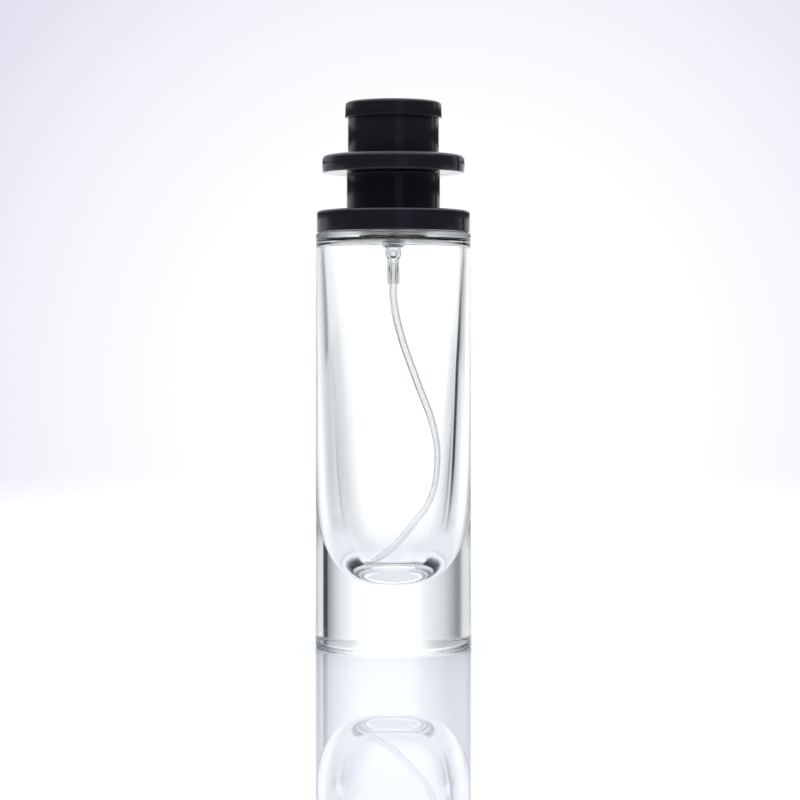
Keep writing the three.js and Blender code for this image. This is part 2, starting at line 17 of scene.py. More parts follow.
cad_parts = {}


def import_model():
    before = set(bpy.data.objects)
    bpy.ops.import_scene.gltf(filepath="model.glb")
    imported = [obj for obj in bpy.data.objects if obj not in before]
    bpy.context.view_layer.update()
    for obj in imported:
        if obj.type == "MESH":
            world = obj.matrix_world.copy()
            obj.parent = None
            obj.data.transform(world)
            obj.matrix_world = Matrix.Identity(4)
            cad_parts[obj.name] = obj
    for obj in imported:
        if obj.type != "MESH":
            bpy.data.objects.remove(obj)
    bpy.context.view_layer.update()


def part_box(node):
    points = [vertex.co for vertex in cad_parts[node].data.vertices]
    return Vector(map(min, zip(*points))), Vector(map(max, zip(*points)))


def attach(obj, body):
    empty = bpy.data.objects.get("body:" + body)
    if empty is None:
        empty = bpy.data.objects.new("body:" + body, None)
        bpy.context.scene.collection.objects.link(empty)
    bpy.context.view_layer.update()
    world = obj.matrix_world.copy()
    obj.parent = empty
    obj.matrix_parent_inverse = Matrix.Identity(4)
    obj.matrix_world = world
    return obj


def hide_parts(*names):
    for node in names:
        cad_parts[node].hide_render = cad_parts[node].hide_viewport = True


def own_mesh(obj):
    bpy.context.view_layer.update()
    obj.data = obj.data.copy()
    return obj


MM = 0.001
log = logging.getLogger("spray_bottle")

Piece = bpy.types.Object
Node = bpy.types.ShaderNode
Tree = bpy.types.ShaderNodeTree
Socket = bpy.types.NodeSocket


class Body(Enum):
    """The frame's moving bodies."""

    BOTTLE = "bottle"
    STEM = "stem"
    PISTON = "piston"
    BALL = "inlet_ball"
    BUTTON = "actuator"
    CAP = "cap"


class Slot(Enum):
    """The record's material slots."""

    GLASS = "glass"
    BLACK = "black_plastic"
    CLEAR = "clear_plastic"
    WHITE = "white_plastic"
    SEAL = "seal"
    FERRULE = "ferrule"
    STEEL = "spring_steel"


class Fineness(Enum):
    """How many steps a turned piece is spun in."""

    BODY = 192
    FITTING = 128
    PUMP = 96
    SMALL = 48


# -----------------------------------------------------------------------------
# Outlines
# -----------------------------------------------------------------------------


@dataclass(frozen=True)
class Corner:
    """A corner of a turned outline, in millimetres, with the radius that eases it."""

    radius: float
    height: float
    ease: float = 0.0
    steps: int = 6

    @property
    def at(self) -> Vector:
        """The corner as a flat vector."""
        return Vector((self.radius, self.height))


@dataclass(frozen=True)
class Span:
    """A turned frame node's outer radius and its lowest and highest point, in millimetres."""

    radius: float
    bottom: float
    top: float

    @staticmethod
    def of(node: str) -> "Span":
        """Reads a node's span from the frame.

        Args:
            node: the frame node's name.

        Returns:
            Its radius about Z and its two heights.
        """
        low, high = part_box(node)
        return Span(high.x / MM, low.z / MM, high.z / MM)


def eased(corners: Sequence[Corner]) -> list[Vector]:
    """Turns every eased corner of an outline into an arc.

    Args:
        corners: the outline's corners in order.

    Returns:
        The outline's points, as (radius, height).
    """
    points: list[Vector] = []
    for i, corner in enumerate(corners):
        if corner.ease <= 0:
            points.append(corner.at)
            continue
        before = corners[i - 1].at - corner.at
        after = corners[(i + 1) % len(corners)].at - corner.at
        half = before.angle(after) / 2
        run = min(corner.ease / math.tan(half), before.length * 0.48, after.length * 0.48)
        ease = run * math.tan(half)
        inward = (before.normalized() + after.normalized()).normalized()
        centre = corner.at + inward * (ease / math.sin(half))
        start = corner.at + before.normalized() * run - centre
        turn = start.angle_signed(corner.at + after.normalized() * run - centre)
        for step in range(corner.steps + 1):
            points.append(centre + Matrix.Rotation(-turn * step / corner.steps, 2) @ start)
    return points


def curve_between(start: Vector, leave: Vector, arrive: Vector, end: Vector, steps: int) -> list[Corner]:
    """Corners along a cubic curve.

    Args:
        start: where the curve begins.
        leave: the control point that it leaves towards.
        arrive: the control point that it arrives from.
        end: where it ends.
        steps: how many pieces it is cut into.

    Returns:
        The curve's points as plain corners, both ends included.
    """
    corners = []
    for step in range(steps + 1):
        t = step / steps
        first, last = start * (1 - t) ** 3, end * t**3
        point = first + leave * (3 * t * (1 - t) ** 2) + arrive * (3 * t**2 * (1 - t)) + last
        corners.append(Corner(point.x, point.y))
    return corners


def tube_outline(bore: float, radius: float, bottom: float, top: float, ease: float = 0.15) -> list[Corner]:
    """The outline of a plain ring with all four edges eased.

    Args:
        bore: inner radius.
        radius: outer radius.
        bottom: lowest height.
        top: highest height.
        ease: radius of the eased edges.

    Returns:
        Four corners, up the outside and down the inside.
    """
    return [
        Corner(bore, bottom, ease, 4),
        Corner(radius, bottom, ease, 4),
        Corner(radius, top, ease, 4),
        Corner(bore, top, ease, 4),
    ]


# -----------------------------------------------------------------------------
# Mesh making
# -----------------------------------------------------------------------------


def deselect_all() -> None:
    """Leaves edit mode and selects nothing."""
    if bpy.context.object and bpy.context.object.mode != "OBJECT":
        bpy.ops.object.mode_set(mode="OBJECT")
    bpy.ops.object.select_all(action="DESELECT")


def make_active(piece: Piece) -> None:
    """Makes one object the only selected one."""
    deselect_all()
    piece.select_set(True)
    bpy.context.view_layer.objects.active = piece


def smooth(piece: Piece, degrees: float = 34) -> None:
    """Shades a piece smooth, but for edges sharper than an angle."""
    make_active(piece)
    bpy.ops.object.shade_smooth_by_angle(angle=math.radians(degrees))


def turned(name: str, corners: Sequence[Corner], fineness: Fineness) -> Piece:
    """Turns an outline about Z, as on a lathe.

    A plane is merged to one point, moved to the outline's first point, extruded along it and spun all round.

    Args:
        name: the new piece's name.
        corners: the outline; it either starts and ends on the axis or closes on itself.
        fineness: how many steps the spin has.

    Returns:
        The closed, smooth-shaded piece.
    """
    points = [Vector((p.x, 0, p.y)) * MM for p in eased(corners)]
    deselect_all()
    bpy.ops.mesh.primitive_plane_add(size=MM)
    piece = bpy.context.object
    piece.name = piece.data.name = name
    bpy.ops.object.mode_set(mode="EDIT")
    bpy.ops.mesh.select_mode(type="VERT")
    bpy.ops.mesh.select_all(action="SELECT")
    bpy.ops.mesh.merge(type="CENTER")
    bpy.ops.transform.translate(value=points[0])
    for start, end in zip(points, points[1:]):
        bpy.ops.mesh.extrude_region_move(TRANSFORM_OT_translate={"value": end - start})
    if points[0].x > 0 or points[-1].x > 0:
        bpy.ops.mesh.extrude_region_move(TRANSFORM_OT_translate={"value": points[0] - points[-1]})
    bpy.ops.mesh.select_all(action="SELECT")
    bpy.ops.mesh.spin(steps=fineness.value, angle=math.tau, center=(0, 0, 0), axis=(0, 0, 1))
    bpy.ops.mesh.select_all(action="SELECT")
    bpy.ops.mesh.remove_doubles(threshold=0.002 * MM)
    bpy.ops.mesh.normals_make_consistent(inside=False)
    bpy.ops.object.mode_set(mode="OBJECT")
    smooth(piece)
    return piece


def pin(name: str, radius: float, bottom: float, top: float) -> Piece:
    """A plain cutter along Z.

    Args:
        name: the cutter's name.
        radius: its radius.
        bottom: its lowest height.
        top: its highest height.

    Returns:
        The closed cylinder.
    """
    outline = [Corner(0, bottom), Corner(radius, bottom), Corner(radius, top), Corner(0, top)]
    return turned(name, outline, Fineness.SMALL)


def moved(piece: Piece, matrix: Matrix) -> Piece:
    """Puts a piece in its place and applies the place to its mesh.

    Args:
        piece: the piece, at the origin.
        matrix: where it goes, in metres.

    Returns:
        The same piece, its object still at the origin.
    """
    make_active(piece)
    piece.matrix_world = matrix
    bpy.ops.object.transform_apply(location=True, rotation=True, scale=True)
    return piece


def cut_out(piece: Piece, cutters: Iterable[Piece]) -> Piece:
    """Cuts other pieces out of a piece and removes them.

    Args:
        piece: the piece that is cut.
        cutters: closed pieces.

    Returns:
        The cut piece.
    """
    for cutter in cutters:
        make_active(piece)
        cut = piece.modifiers.new("cut", "BOOLEAN")
        cut.operation = "DIFFERENCE"
        cut.solver = "EXACT"
        cut.object = cutter
        bpy.ops.object.modifier_apply(modifier=cut.name)
        bpy.data.objects.remove(cutter)
    smooth(piece)
    return piece


def swept(
    name: str,
    points: Sequence[Vector],
    radius: float,
    wall: float = 0.0,
    sides: int = 6,
    follow: int = 12,
) -> Piece:
    """Sweeps a round section along a smooth path.

    Args:
        name: the new piece's name.
        points: the path, in millimetres.
        radius: outer radius of the section.
        wall: wall thickness, or 0 for a solid wire.
        sides: how finely the section is rounded.
        follow: how many steps the path has between two points.

    Returns:
        The closed piece.
    """
    deselect_all()
    bpy.ops.curve.primitive_bezier_curve_add(location=(0, 0, 0))
    path = bpy.context.object
    bpy.ops.object.mode_set(mode="EDIT")
    bpy.ops.curve.select_all(action="SELECT")
    bpy.ops.curve.delete(type="VERT")
    bpy.ops.object.mode_set(mode="OBJECT")
    line = path.data.splines.new("BEZIER")
    line.bezier_points.add(len(points) - 1)
    for knot, point in zip(line.bezier_points, points):
        knot.co = point * MM
        knot.handle_left_type = knot.handle_right_type = "AUTO"
    path.data.dimensions = "3D"
    path.data.resolution_u = follow
    path.data.bevel_depth = radius * MM
    path.data.bevel_resolution = sides
    path.data.use_fill_caps = wall == 0
    make_active(path)
    bpy.ops.object.convert(target="MESH")
    piece = bpy.context.object
    piece.name = piece.data.name = name
    bpy.ops.object.mode_set(mode="EDIT")
    bpy.ops.mesh.select_all(action="SELECT")
    bpy.ops.mesh.remove_doubles(threshold=0.002 * MM)
    bpy.ops.mesh.normals_make_consistent(inside=False)
    bpy.ops.object.mode_set(mode="OBJECT")
    if wall > 0:
        shell = piece.modifiers.new("wall", "SOLIDIFY")
        shell.thickness = wall * MM
        shell.offset = -1
        bpy.ops.object.modifier_apply(modifier=shell.name)
    smooth(piece, 50)
    return piece


# -----------------------------------------------------------------------------
# Shader node groups
# -----------------------------------------------------------------------------


class NodeGraph:
    """A small helper that adds and joins shader nodes in one tree."""

    def __init__(self, tree: Tree) -> None:
        """Keeps the tree that nodes are added to."""
        self.tree = tree

    def add(self, kind: str, label: str = "", **settings: object) -> Node:
        """Adds a node.

        Args:
            kind: the node's class name without its ShaderNode prefix.
            label: what the node is for.
            settings: properties that are set on it.

        Returns:
            The new node.
        """
        node = self.tree.nodes.new("ShaderNode" + kind)
        node.label = label
        for key, value in settings.items():
            setattr(node, key, value)
        return node

    def feed(self, socket: Socket, value: object) -> None:
        """Sets an input to a number or a colour, or joins another node's output to it."""
        if isinstance(value, Socket):
            self.tree.links.new(value, socket)
        else:
            socket.default_value = value

    def maths(self, operation: str, first: object, second: object = 0.0, clamp: bool = False) -> Socket:
        """Joins two values by a sum.

        Args:
            operation: the Math node's operation.
            first: a number or an output.
            second: a number or an output.
            clamp: whether the answer is kept between 0 and 1.

        Returns:
            The answer's output.
        """
        node = self.add("Math", operation=operation, use_clamp=clamp)
        self.feed(node.inputs[0], first)
        self.feed(node.inputs[1], second)
        return node.outputs[0]

    def remap(self, value: object, low: float, high: float, new_low: float, new_high: float) -> Socket:
        """Maps a range of a value onto another range, clamped.

        Args:
            value: the output that is mapped.
            low: where the old range starts.
            high: where it ends.
            new_low: what low becomes.
            new_high: what high becomes.

        Returns:
            The mapped output.
        """
        node = self.add("MapRange")
        for socket, number in zip(node.inputs, (value, low, high, new_low, new_high)):
            self.feed(socket, number)
        return node.outputs[0]

    def noise(self, vector: object, scale: object, detail: float = 2.0, roughness: float = 0.5) -> Socket:
        """A noise pattern.

        Args:
            vector: where it is read.
            scale: its scale, per metre.
            detail: how many finer layers it has.
            roughness: how strong the finer layers are.

        Returns:
            The noise's value output.
        """
        node = self.add("TexNoise")
        self.feed(node.inputs["Vector"], vector)
        self.feed(node.inputs["Scale"], scale)
        node.inputs["Detail"].default_value = detail
        node.inputs["Roughness"].default_value = roughness
        return node.outputs["Fac"]

    def blend_colours(self, factor: object, first: object, second: object) -> Socket:
        """Mixes two colours.

        Args:
            factor: how much of the second shows.
            first: a colour or an output.
            second: a colour or an output.

        Returns:
            The mixed colour's output.
        """
        node = self.add("Mix", data_type="RGBA")
        self.feed(node.inputs["Factor"], factor)
        self.feed(node.inputs[6], first)
        self.feed(node.inputs[7], second)
        return node.outputs[2]


def shared_group(
    name: str,
    inputs: dict[str, tuple[str, object]],
    outputs: dict[str, str],
    fill: Callable[[NodeGraph, dict, dict], None],
) -> Tree:
    """Makes a shader node group once and returns it again when it is asked for again.

    Args:
        name: the group's name.
        inputs: each input's name, its kind and its default.
        outputs: each output's name and its kind.
        fill: builds the nodes between the inputs and the outputs.

    Returns:
        The node group.
    """
    if name in bpy.data.node_groups:
        return bpy.data.node_groups[name]
    tree = bpy.data.node_groups.new(name, "ShaderNodeTree")
    for label, (kind, default) in inputs.items():
        socket = tree.interface.new_socket(label, in_out="INPUT", socket_type="NodeSocket" + kind)
        if default is not None:
            socket.default_value = default
    for label, kind in outputs.items():
        tree.interface.new_socket(label, in_out="OUTPUT", socket_type="NodeSocket" + kind)
    graph = NodeGraph(tree)
    entry = tree.nodes.new("NodeGroupInput")
    leave = tree.nodes.new("NodeGroupOutput")
    fill(graph, dict(entry.outputs.items()), dict(leave.inputs.items()))
    return tree


def hairline_group() -> Tree:
    """Fine hairline scratches that run mostly round and up a piece, as a mask.

    Returns:
        A group with Vector, Scale and Amount in, and Mask out.
    """

    def fill(graph: NodeGraph, given: dict, out: dict) -> None:
        masks = []
        for stretch, turn in (((0.03, 1, 1), 0.35), ((1, 0.04, 1), 1.9), ((1, 1, 0.03), 0.9)):
            place = graph.add("Mapping", vector_type="TEXTURE")
            graph.feed(place.inputs["Vector"], given["Vector"])
            place.inputs["Rotation"].default_value = (turn, turn / 2, turn)
            place.inputs["Scale"].default_value = [1 / part for part in stretch]
            streaks = graph.noise(place.outputs[0], given["Scale"], 3.0, 0.6)
            masks.append(graph.remap(streaks, 0.62, 0.7, 0.0, 1.0))
        both = graph.maths("MAXIMUM", masks[0], masks[1])
        every = graph.maths("MAXIMUM", both, masks[2])
        patches = graph.remap(graph.noise(given["Vector"], 60.0, 1.0), 0.42, 0.62, 0.0, 1.0)
        worn = graph.maths("MULTIPLY", every, patches)
        graph.feed(out["Mask"], graph.maths("MULTIPLY", worn, given["Amount"], clamp=True))

    inputs = {"Vector": ("Vector", None), "Scale": ("Float", 900.0), "Amount": ("Float", 1.0)}
    return shared_group("hairline_scratches", inputs, {"Mask": "Float"}, fill)


def moulded_group() -> Tree:
    """The soft waviness and fine grain that a mould leaves, as a height and a roughness change.

    Returns:
        A group with Vector, Wave and Grain in, and Height and Sheen out.
    """

    def fill(graph: NodeGraph, given: dict, out: dict) -> None:
        wave = graph.noise(given["Vector"], given["Wave"], 1.0, 0.4)
        grain = graph.noise(given["Vector"], given["Grain"], 4.0, 0.65)
        fine = graph.maths("MULTIPLY", grain, 0.18)
        graph.feed(out["Height"], graph.maths("ADD", wave, fine))
        graph.feed(out["Sheen"], graph.remap(grain, 0.3, 0.7, -1.0, 1.0))

    inputs = {"Vector": ("Vector", None), "Wave": ("Float", 90.0), "Grain": ("Float", 1400.0)}
    return shared_group("moulded_skin", inputs, {"Height": "Float", "Sheen": "Float"}, fill)


def dust_group() -> Tree:
    """Sparse settled specks, as a mask that is stronger on faces that look up.

    Returns:
        A group with Vector, Scale and Amount in, and Mask out.
    """

    def fill(graph: NodeGraph, given: dict, out: dict) -> None:
        cells = graph.add("TexVoronoi", feature="F1")
        graph.feed(cells.inputs["Vector"], given["Vector"])
        graph.feed(cells.inputs["Scale"], given["Scale"])
        specks = graph.remap(cells.outputs["Distance"], 0.05, 0.11, 1.0, 0.0)
        chosen = graph.remap(graph.noise(given["Vector"], 260.0, 2.0), 0.58, 0.66, 0.0, 1.0)
        normal = graph.add("SeparateXYZ")
        graph.feed(normal.inputs[0], graph.add("NewGeometry").outputs["Normal"])
        upward = graph.remap(normal.outputs["Z"], -0.2, 0.9, 0.35, 1.0)
        settled = graph.maths("MULTIPLY", graph.maths("MULTIPLY", specks, chosen), upward)
        graph.feed(out["Mask"], graph.maths("MULTIPLY", settled, given["Amount"], clamp=True))

    inputs = {"Vector": ("Vector", None), "Scale": ("Float", 700.0), "Amount": ("Float", 1.0)}
    return shared_group("settled_dust", inputs, {"Mask": "Float"}, fill)


# -----------------------------------------------------------------------------
# Finishes
# -----------------------------------------------------------------------------


@dataclass(frozen=True)
class Finish:
    """A material that is built once and shared by the pieces that wear it."""

    name: str

    def material(self) -> bpy.types.Material:
        """Returns the finish's material, building it the first time."""
        if self.name in bpy.data.materials:
            return bpy.data.materials[self.name]
        made = bpy.data.materials.new(self.name)
        made.use_nodes = True
        made.node_tree.nodes.clear()
        graph = NodeGraph(made.node_tree)
        surface = graph.add("BsdfPrincipled", self.name)
        end = graph.add("OutputMaterial")
        graph.feed(end.inputs["Surface"], surface.outputs[0])
        place = graph.add("TexCoord").outputs["Object"]
        self.dress(graph, surface, end, place)
        return made

    def dress(self, graph: NodeGraph, surface: Node, end: Node, place: object) -> None:
        """Fills in the shader's nodes and values.

        Args:
            graph: the material's tree.
            surface: its Principled shader.
            end: its output node.
            place: object coordinates.
        """
        raise NotImplementedError

    def use(self, graph: NodeGraph, tree: Tree, **values: object) -> Node:
        """Places a shared node group in the material.

        Args:
            graph: the material's tree.
            tree: the group.
            values: what its inputs are fed.

        Returns:
            The group node.
        """
        node = graph.add("Group", tree.name)
        node.node_tree = tree
        for key, value in values.items():
            graph.feed(node.inputs[key], value)
        return node

    def bump(self, graph: NodeGraph, surface: Node, height: object, depth: float) -> None:
        """Joins a height to the shader's normal, as deep as depth in millimetres."""
        node = graph.add("Bump")
        node.inputs["Strength"].default_value = 1.0
        node.inputs["Distance"].default_value = depth * MM
        graph.feed(node.inputs["Height"], height)
        graph.feed(surface.inputs["Normal"], node.outputs[0])


@dataclass(frozen=True)
class ClearGlass(Finish):
    """Pressed flint glass: very smooth, faintly green where it is thick, a little wavy."""

    tint: tuple[float, float, float] = (0.62, 0.86, 0.84)
    density: float = 4.0
    ripple: float = 0.0016
    foot: float = 1.1
    foot_roughness: float = 0.4
    hazed_rim: tuple[float, float] = (94.8, 95.85)
    rim_roughness: float = 0.3

    def dress(self, graph: NodeGraph, surface: Node, end: Node, place: object) -> None:
        """Fills in clear glass with a long soft ripple and a tint that deepens with thickness."""
        surface.inputs["Transmission Weight"].default_value = 1.0
        surface.inputs["IOR"].default_value = 1.52
        skin = self.use(graph, moulded_group(), Vector=place, Wave=75.0, Grain=420.0)
        scratches = self.use(graph, hairline_group(), Vector=place, Scale=700.0, Amount=0.8)
        dust = self.use(graph, dust_group(), Vector=place, Scale=420.0, Amount=0.5)
        clean, dull = (1.0, 1.0, 1.0, 1), (0.9, 0.915, 0.915, 1)
        graph.feed(surface.inputs["Base Color"], graph.blend_colours(dust.outputs["Mask"], clean, dull))
        worn = graph.maths("MULTIPLY", scratches.outputs["Mask"], 0.02)
        height = graph.add("SeparateXYZ")
        graph.feed(height.inputs[0], place)
        foot = self.foot * MM
        stipple = graph.remap(height.outputs["Z"], foot, foot * 0.4, 0.001, self.foot_roughness)
        low, high = self.hazed_rim
        hazed = graph.remap(height.outputs["Z"], (low - 0.2) * MM, low * MM, 0.0, self.rim_roughness)
        clear = graph.remap(height.outputs["Z"], high * MM, (high + 0.1) * MM, 1.0, 0.0)
        haze = graph.maths("MULTIPLY", hazed, clear)
        matt = graph.maths("ADD", stipple, haze)
        graph.feed(surface.inputs["Roughness"], graph.maths("ADD", worn, matt))
        self.bump(graph, surface, skin.outputs["Height"], self.ripple)
        inside = graph.add("VolumeAbsorption")
        inside.inputs["Color"].default_value = (*self.tint, 1)
        inside.inputs["Density"].default_value = self.density
        graph.feed(end.inputs["Volume"], inside.outputs[0])


@dataclass(frozen=True)
class GlossBlack(Finish):
    """Black moulded plastic with a polished skin, fine hairlines and a little dust."""

    colour: tuple[float, float, float] = (0.0135, 0.0125, 0.0165)
    dust_colour: tuple[float, float, float] = (0.16, 0.16, 0.17)
    roughness: float = 0.12
    ripple: float = 0.0022

    def dress(self, graph: NodeGraph, surface: Node, end: Node, place: object) -> None:
        """Fills in black plastic."""
        surface.inputs["IOR"].default_value = 1.42
        skin = self.use(graph, moulded_group(), Vector=place, Wave=120.0, Grain=2600.0)
        scratches = self.use(graph, hairline_group(), Vector=place, Scale=1100.0, Amount=0.9)
        dust = self.use(graph, dust_group(), Vector=place, Scale=900.0, Amount=0.55)
        clean = (*self.colour, 1)
        faded = (*(part * 1.5 for part in self.colour), 1)
        shaded = graph.blend_colours(graph.remap(skin.outputs["Sheen"], -1, 1, 0, 1), clean, faded)
        dusty = graph.blend_colours(dust.outputs["Mask"], shaded, (*self.dust_colour, 1))
        graph.feed(surface.inputs["Base Color"], dusty)
        sheen = graph.maths("MULTIPLY", skin.outputs["Sheen"], 0.025)
        worn = graph.maths("MULTIPLY", scratches.outputs["Mask"], 0.16)
        dulled = graph.maths("MULTIPLY", dust.outputs["Mask"], 0.4)
        uneven = graph.maths("ADD", sheen, worn)
        rough = graph.maths("ADD", uneven, graph.maths("ADD", dulled, self.roughness))
        graph.feed(surface.inputs["Roughness"], rough)
        self.bump(graph, surface, skin.outputs["Height"], self.ripple)


@dataclass(frozen=True)
class ClearPolymer(Finish):
    """Natural polypropylene or polyethylene: see-through, slightly milky, with a moulded grain."""

    colour: tuple[float, float, float] = (0.97, 0.975, 0.975)
    roughness: float = 0.03
    milk: float = 0.02
    bending: float = 1.33
    depth: float = 0.004

    def dress(self, graph: NodeGraph, surface: Node, end: Node, place: object) -> None:
        """Fills in milky clear plastic."""
        surface.inputs["Transmission Weight"].default_value = 1.0 - self.milk
        surface.inputs["IOR"].default_value = self.bending
        skin = self.use(graph, moulded_group(), Vector=place, Wave=300.0, Grain=2400.0)
        cloud = graph.remap(graph.noise(place, 500.0, 2.0), 0.35, 0.65, 0.0, 1.0)
        pale = (*(part * 0.965 for part in self.colour), 1)
        graph.feed(surface.inputs["Base Color"], graph.blend_colours(cloud, (*self.colour, 1), pale))
        sheen = graph.maths("MULTIPLY", skin.outputs["Sheen"], 0.03)
        graph.feed(surface.inputs["Roughness"], graph.maths("ADD", sheen, self.roughness))
        self.bump(graph, surface, skin.outputs["Height"], self.depth)


@dataclass(frozen=True)
class SolidPolymer(Finish):
    """An opaque moulded plastic or rubber, satin to matt."""

    colour: tuple[float, float, float] = (0.8, 0.81, 0.8)
    roughness: float = 0.38
    grain: float = 1800.0
    depth: float = 0.006

    def dress(self, graph: NodeGraph, surface: Node, end: Node, place: object) -> None:
        """Fills in an opaque moulding."""
        skin = self.use(graph, moulded_group(), Vector=place, Wave=240.0, Grain=self.grain)
        scratches = self.use(graph, hairline_group(), Vector=place, Scale=1500.0, Amount=0.6)
        worn = (*(part * 0.86 for part in self.colour), 1)
        blotch = graph.remap(graph.noise(place, 320.0, 3.0), 0.35, 0.7, 0.0, 0.7)
        graph.feed(surface.inputs["Base Color"], graph.blend_colours(blotch, (*self.colour, 1), worn))
        sheen = graph.maths("MULTIPLY", skin.outputs["Sheen"], 0.05)
        rubbed = graph.maths("MULTIPLY", scratches.outputs["Mask"], 0.12)
        uneven = graph.maths("ADD", sheen, rubbed)
        graph.feed(surface.inputs["Roughness"], graph.maths("ADD", uneven, self.roughness))
        self.bump(graph, surface, skin.outputs["Height"], self.depth)


@dataclass(frozen=True)
class WorkedMetal(Finish):
    """Rolled or drawn metal, with fine lines along the way it was worked and a few scratches."""

    colour: tuple[float, float, float] = (0.78, 0.79, 0.8)
    roughness: float = 0.22
    stretch: tuple[float, float, float] = (1.0, 1.0, 30.0)
    depth: float = 0.004

    def dress(self, graph: NodeGraph, surface: Node, end: Node, place: object) -> None:
        """Fills in bright metal with drawn lines."""
        surface.inputs["Metallic"].default_value = 1.0
        along = graph.add("Mapping")
        graph.feed(along.inputs["Vector"], place)
        along.inputs["Scale"].default_value = self.stretch
        lines = graph.noise(along.outputs[0], 420.0, 5.0, 0.7)
        scratches = self.use(graph, hairline_group(), Vector=place, Scale=1200.0, Amount=0.8)
        dull = (*(part * 0.8 for part in self.colour), 1)
        shade = graph.remap(lines, 0.35, 0.7, 0.0, 1.0)
        graph.feed(surface.inputs["Base Color"], graph.blend_colours(shade, (*self.colour, 1), dull))
        rolled = graph.remap(lines, 0.3, 0.7, self.roughness - 0.06, self.roughness + 0.1)
        worn = graph.maths("MULTIPLY", scratches.outputs["Mask"], 0.15)
        graph.feed(surface.inputs["Roughness"], graph.maths("ADD", rolled, worn))
        self.bump(graph, surface, lines, self.depth)


BOTTLE_GLASS = ClearGlass("bottle_glass")
CAP_BLACK = GlossBlack("cap_gloss_black")
HOUSING_CLEAR = ClearPolymer("pump_clear_plastic")
TUBE_CLEAR = ClearPolymer("dip_tube_plastic", roughness=0.06, milk=0.04, bending=1.25)
PUMP_WHITE = SolidPolymer("pump_white_plastic")
SEAL_RUBBER = SolidPolymer(
    "seal_rubber", colour=(0.55, 0.57, 0.57), roughness=0.62, grain=2600.0, depth=0.012
)
FERRULE_METAL = WorkedMetal("rolled_aluminium")
SPRING_METAL = WorkedMetal(
    "drawn_steel", colour=(0.6, 0.6, 0.61), roughness=0.2, stretch=(8.0, 8.0, 8.0)
)


# -----------------------------------------------------------------------------
# Sub-assemblies
# -----------------------------------------------------------------------------


@dataclass
class SubAssembly:
    """Pieces that belong together; each stands for one frame node and rides on its body."""

    pieces: list[Piece] = field(default_factory=list, init=False)

    def dress(self, piece: Piece, node: str, body: Body, slot: Slot, finish: Finish) -> Piece:
        """Gives a piece its finish and its place in the frame.

        Args:
            piece: the finished mesh.
            node: the frame node that it stands for.
            body: the body that it rides on.
            slot: the record's material slot; not used.
            finish: the material that it wears.

        Returns:
            The same piece.
        """
        piece.data.materials.clear()
        piece.data.materials.append(finish.material())
        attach(piece, body.value)
        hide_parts(node)
        self.pieces.append(piece)
        faces = len(piece.data.polygons)
        log.info("%s stands for %s on %s: %d faces", piece.name, node, body.value, faces)
        return piece


@dataclass
class GlassBottle(SubAssembly):
    """The thick-walled glass bottle, from its foot ring to the bead that the pump is crimped on."""

    edge_hold: float = 0.3
    base_fillet: float = 1.2
    foot_width: float = 2.4
    punt_depth: float = 0.8
    punt_slope: float = 2.2
    shoulder_radius: float = 18.0
    shoulder_height: float = 96.0
    shoulder_fillet: float = 1.4
    floor: float = 14.9
    floor_radius: float = 1.5
    floor_pull: float = 8.5
    heel_height: float = 30.4
    heel_pull: float = 0.7
    top_wall: float = 1.72
    wall_taper: float = 0.065
    shoulder_thickness: float = 1.5
    inner_shoulder_drop: float = 2.6
    inner_shoulder_width: float = 1.5
    neck_bore: float = 5.2
    neck_wall: float = 1.5
    bead_overhang: float = 0.8
    bead_height: float = 3.6

    def cavity(self) -> list[Corner]:
        """The cavity's outline from the neck's bore down to the middle of its bowl-shaped floor."""
        ceiling = self.shoulder_height - self.shoulder_thickness
        wall_top = Vector((self.shoulder_radius - self.top_wall, ceiling - self.inner_shoulder_drop))
        up_the_wall = wall_top + Vector((self.wall_taper, 1)) * self.inner_shoulder_drop / 2
        dome_edge = Vector((wall_top.x - self.inner_shoulder_width, ceiling))
        dome_corner = dome_edge + Vector((self.inner_shoulder_width * self.heel_pull, 0))
        dome = curve_between(dome_edge, dome_corner, up_the_wall, wall_top, 18)
        heel_drop = wall_top.y - self.floor - self.heel_height
        heel = wall_top - Vector((self.wall_taper, 1)) * heel_drop
        leave = heel - Vector((self.wall_taper, 1)) * self.heel_height * self.heel_pull
        bowl = Vector((self.floor_radius, self.floor))
        heel_curve = curve_between(heel, leave, bowl + Vector((self.floor_pull, 0)), bowl, 44)
        bore = Corner(self.neck_bore, ceiling, self.neck_wall / 2, 8)
        return [bore, *dome, *heel_curve, Corner(0, self.floor)]

    def build(self) -> None:
        """Turns the bottle as one closed body."""
        span = Span.of("glass_bottle")
        foot_outer = span.radius - self.base_fillet
        foot_inner = foot_outer - self.foot_width
        neck = self.neck_bore + self.neck_wall
        bead = neck + self.bead_overhang
        bead_bottom = span.top - self.bead_height
        flare = (span.radius - self.shoulder_radius) / self.shoulder_height
        low_hold = self.base_fillet + self.edge_hold
        high_hold = self.shoulder_height - self.shoulder_fillet - self.edge_hold
        outline = [
            Corner(0, self.punt_depth),
            Corner(foot_inner - self.punt_slope, self.punt_depth, 2.0, 8),
            Corner(foot_inner, 0, 1.0, 6),
            Corner(span.radius, 0, self.base_fillet, 14),
            Corner(span.radius - flare * low_hold, low_hold),
            Corner(span.radius - flare * high_hold, high_hold),
            Corner(self.shoulder_radius, self.shoulder_height, self.shoulder_fillet, 12),
            Corner(neck, self.shoulder_height, self.neck_wall / 3, 6),
            Corner(neck, bead_bottom - self.bead_overhang, 0.3, 4),
            Corner(bead, bead_bottom, 0.3, 4),
            Corner(bead, span.top, self.neck_wall / 4, 6),
            Corner(self.neck_bore, span.top, self.neck_wall / 5, 6),
            *self.cavity(),
        ]
        glass = turned("bottle_glass_body", outline, Fineness.BODY)
        self.dress(glass, "glass_bottle", Body.BOTTLE, Slot.GLASS, BOTTLE_GLASS)


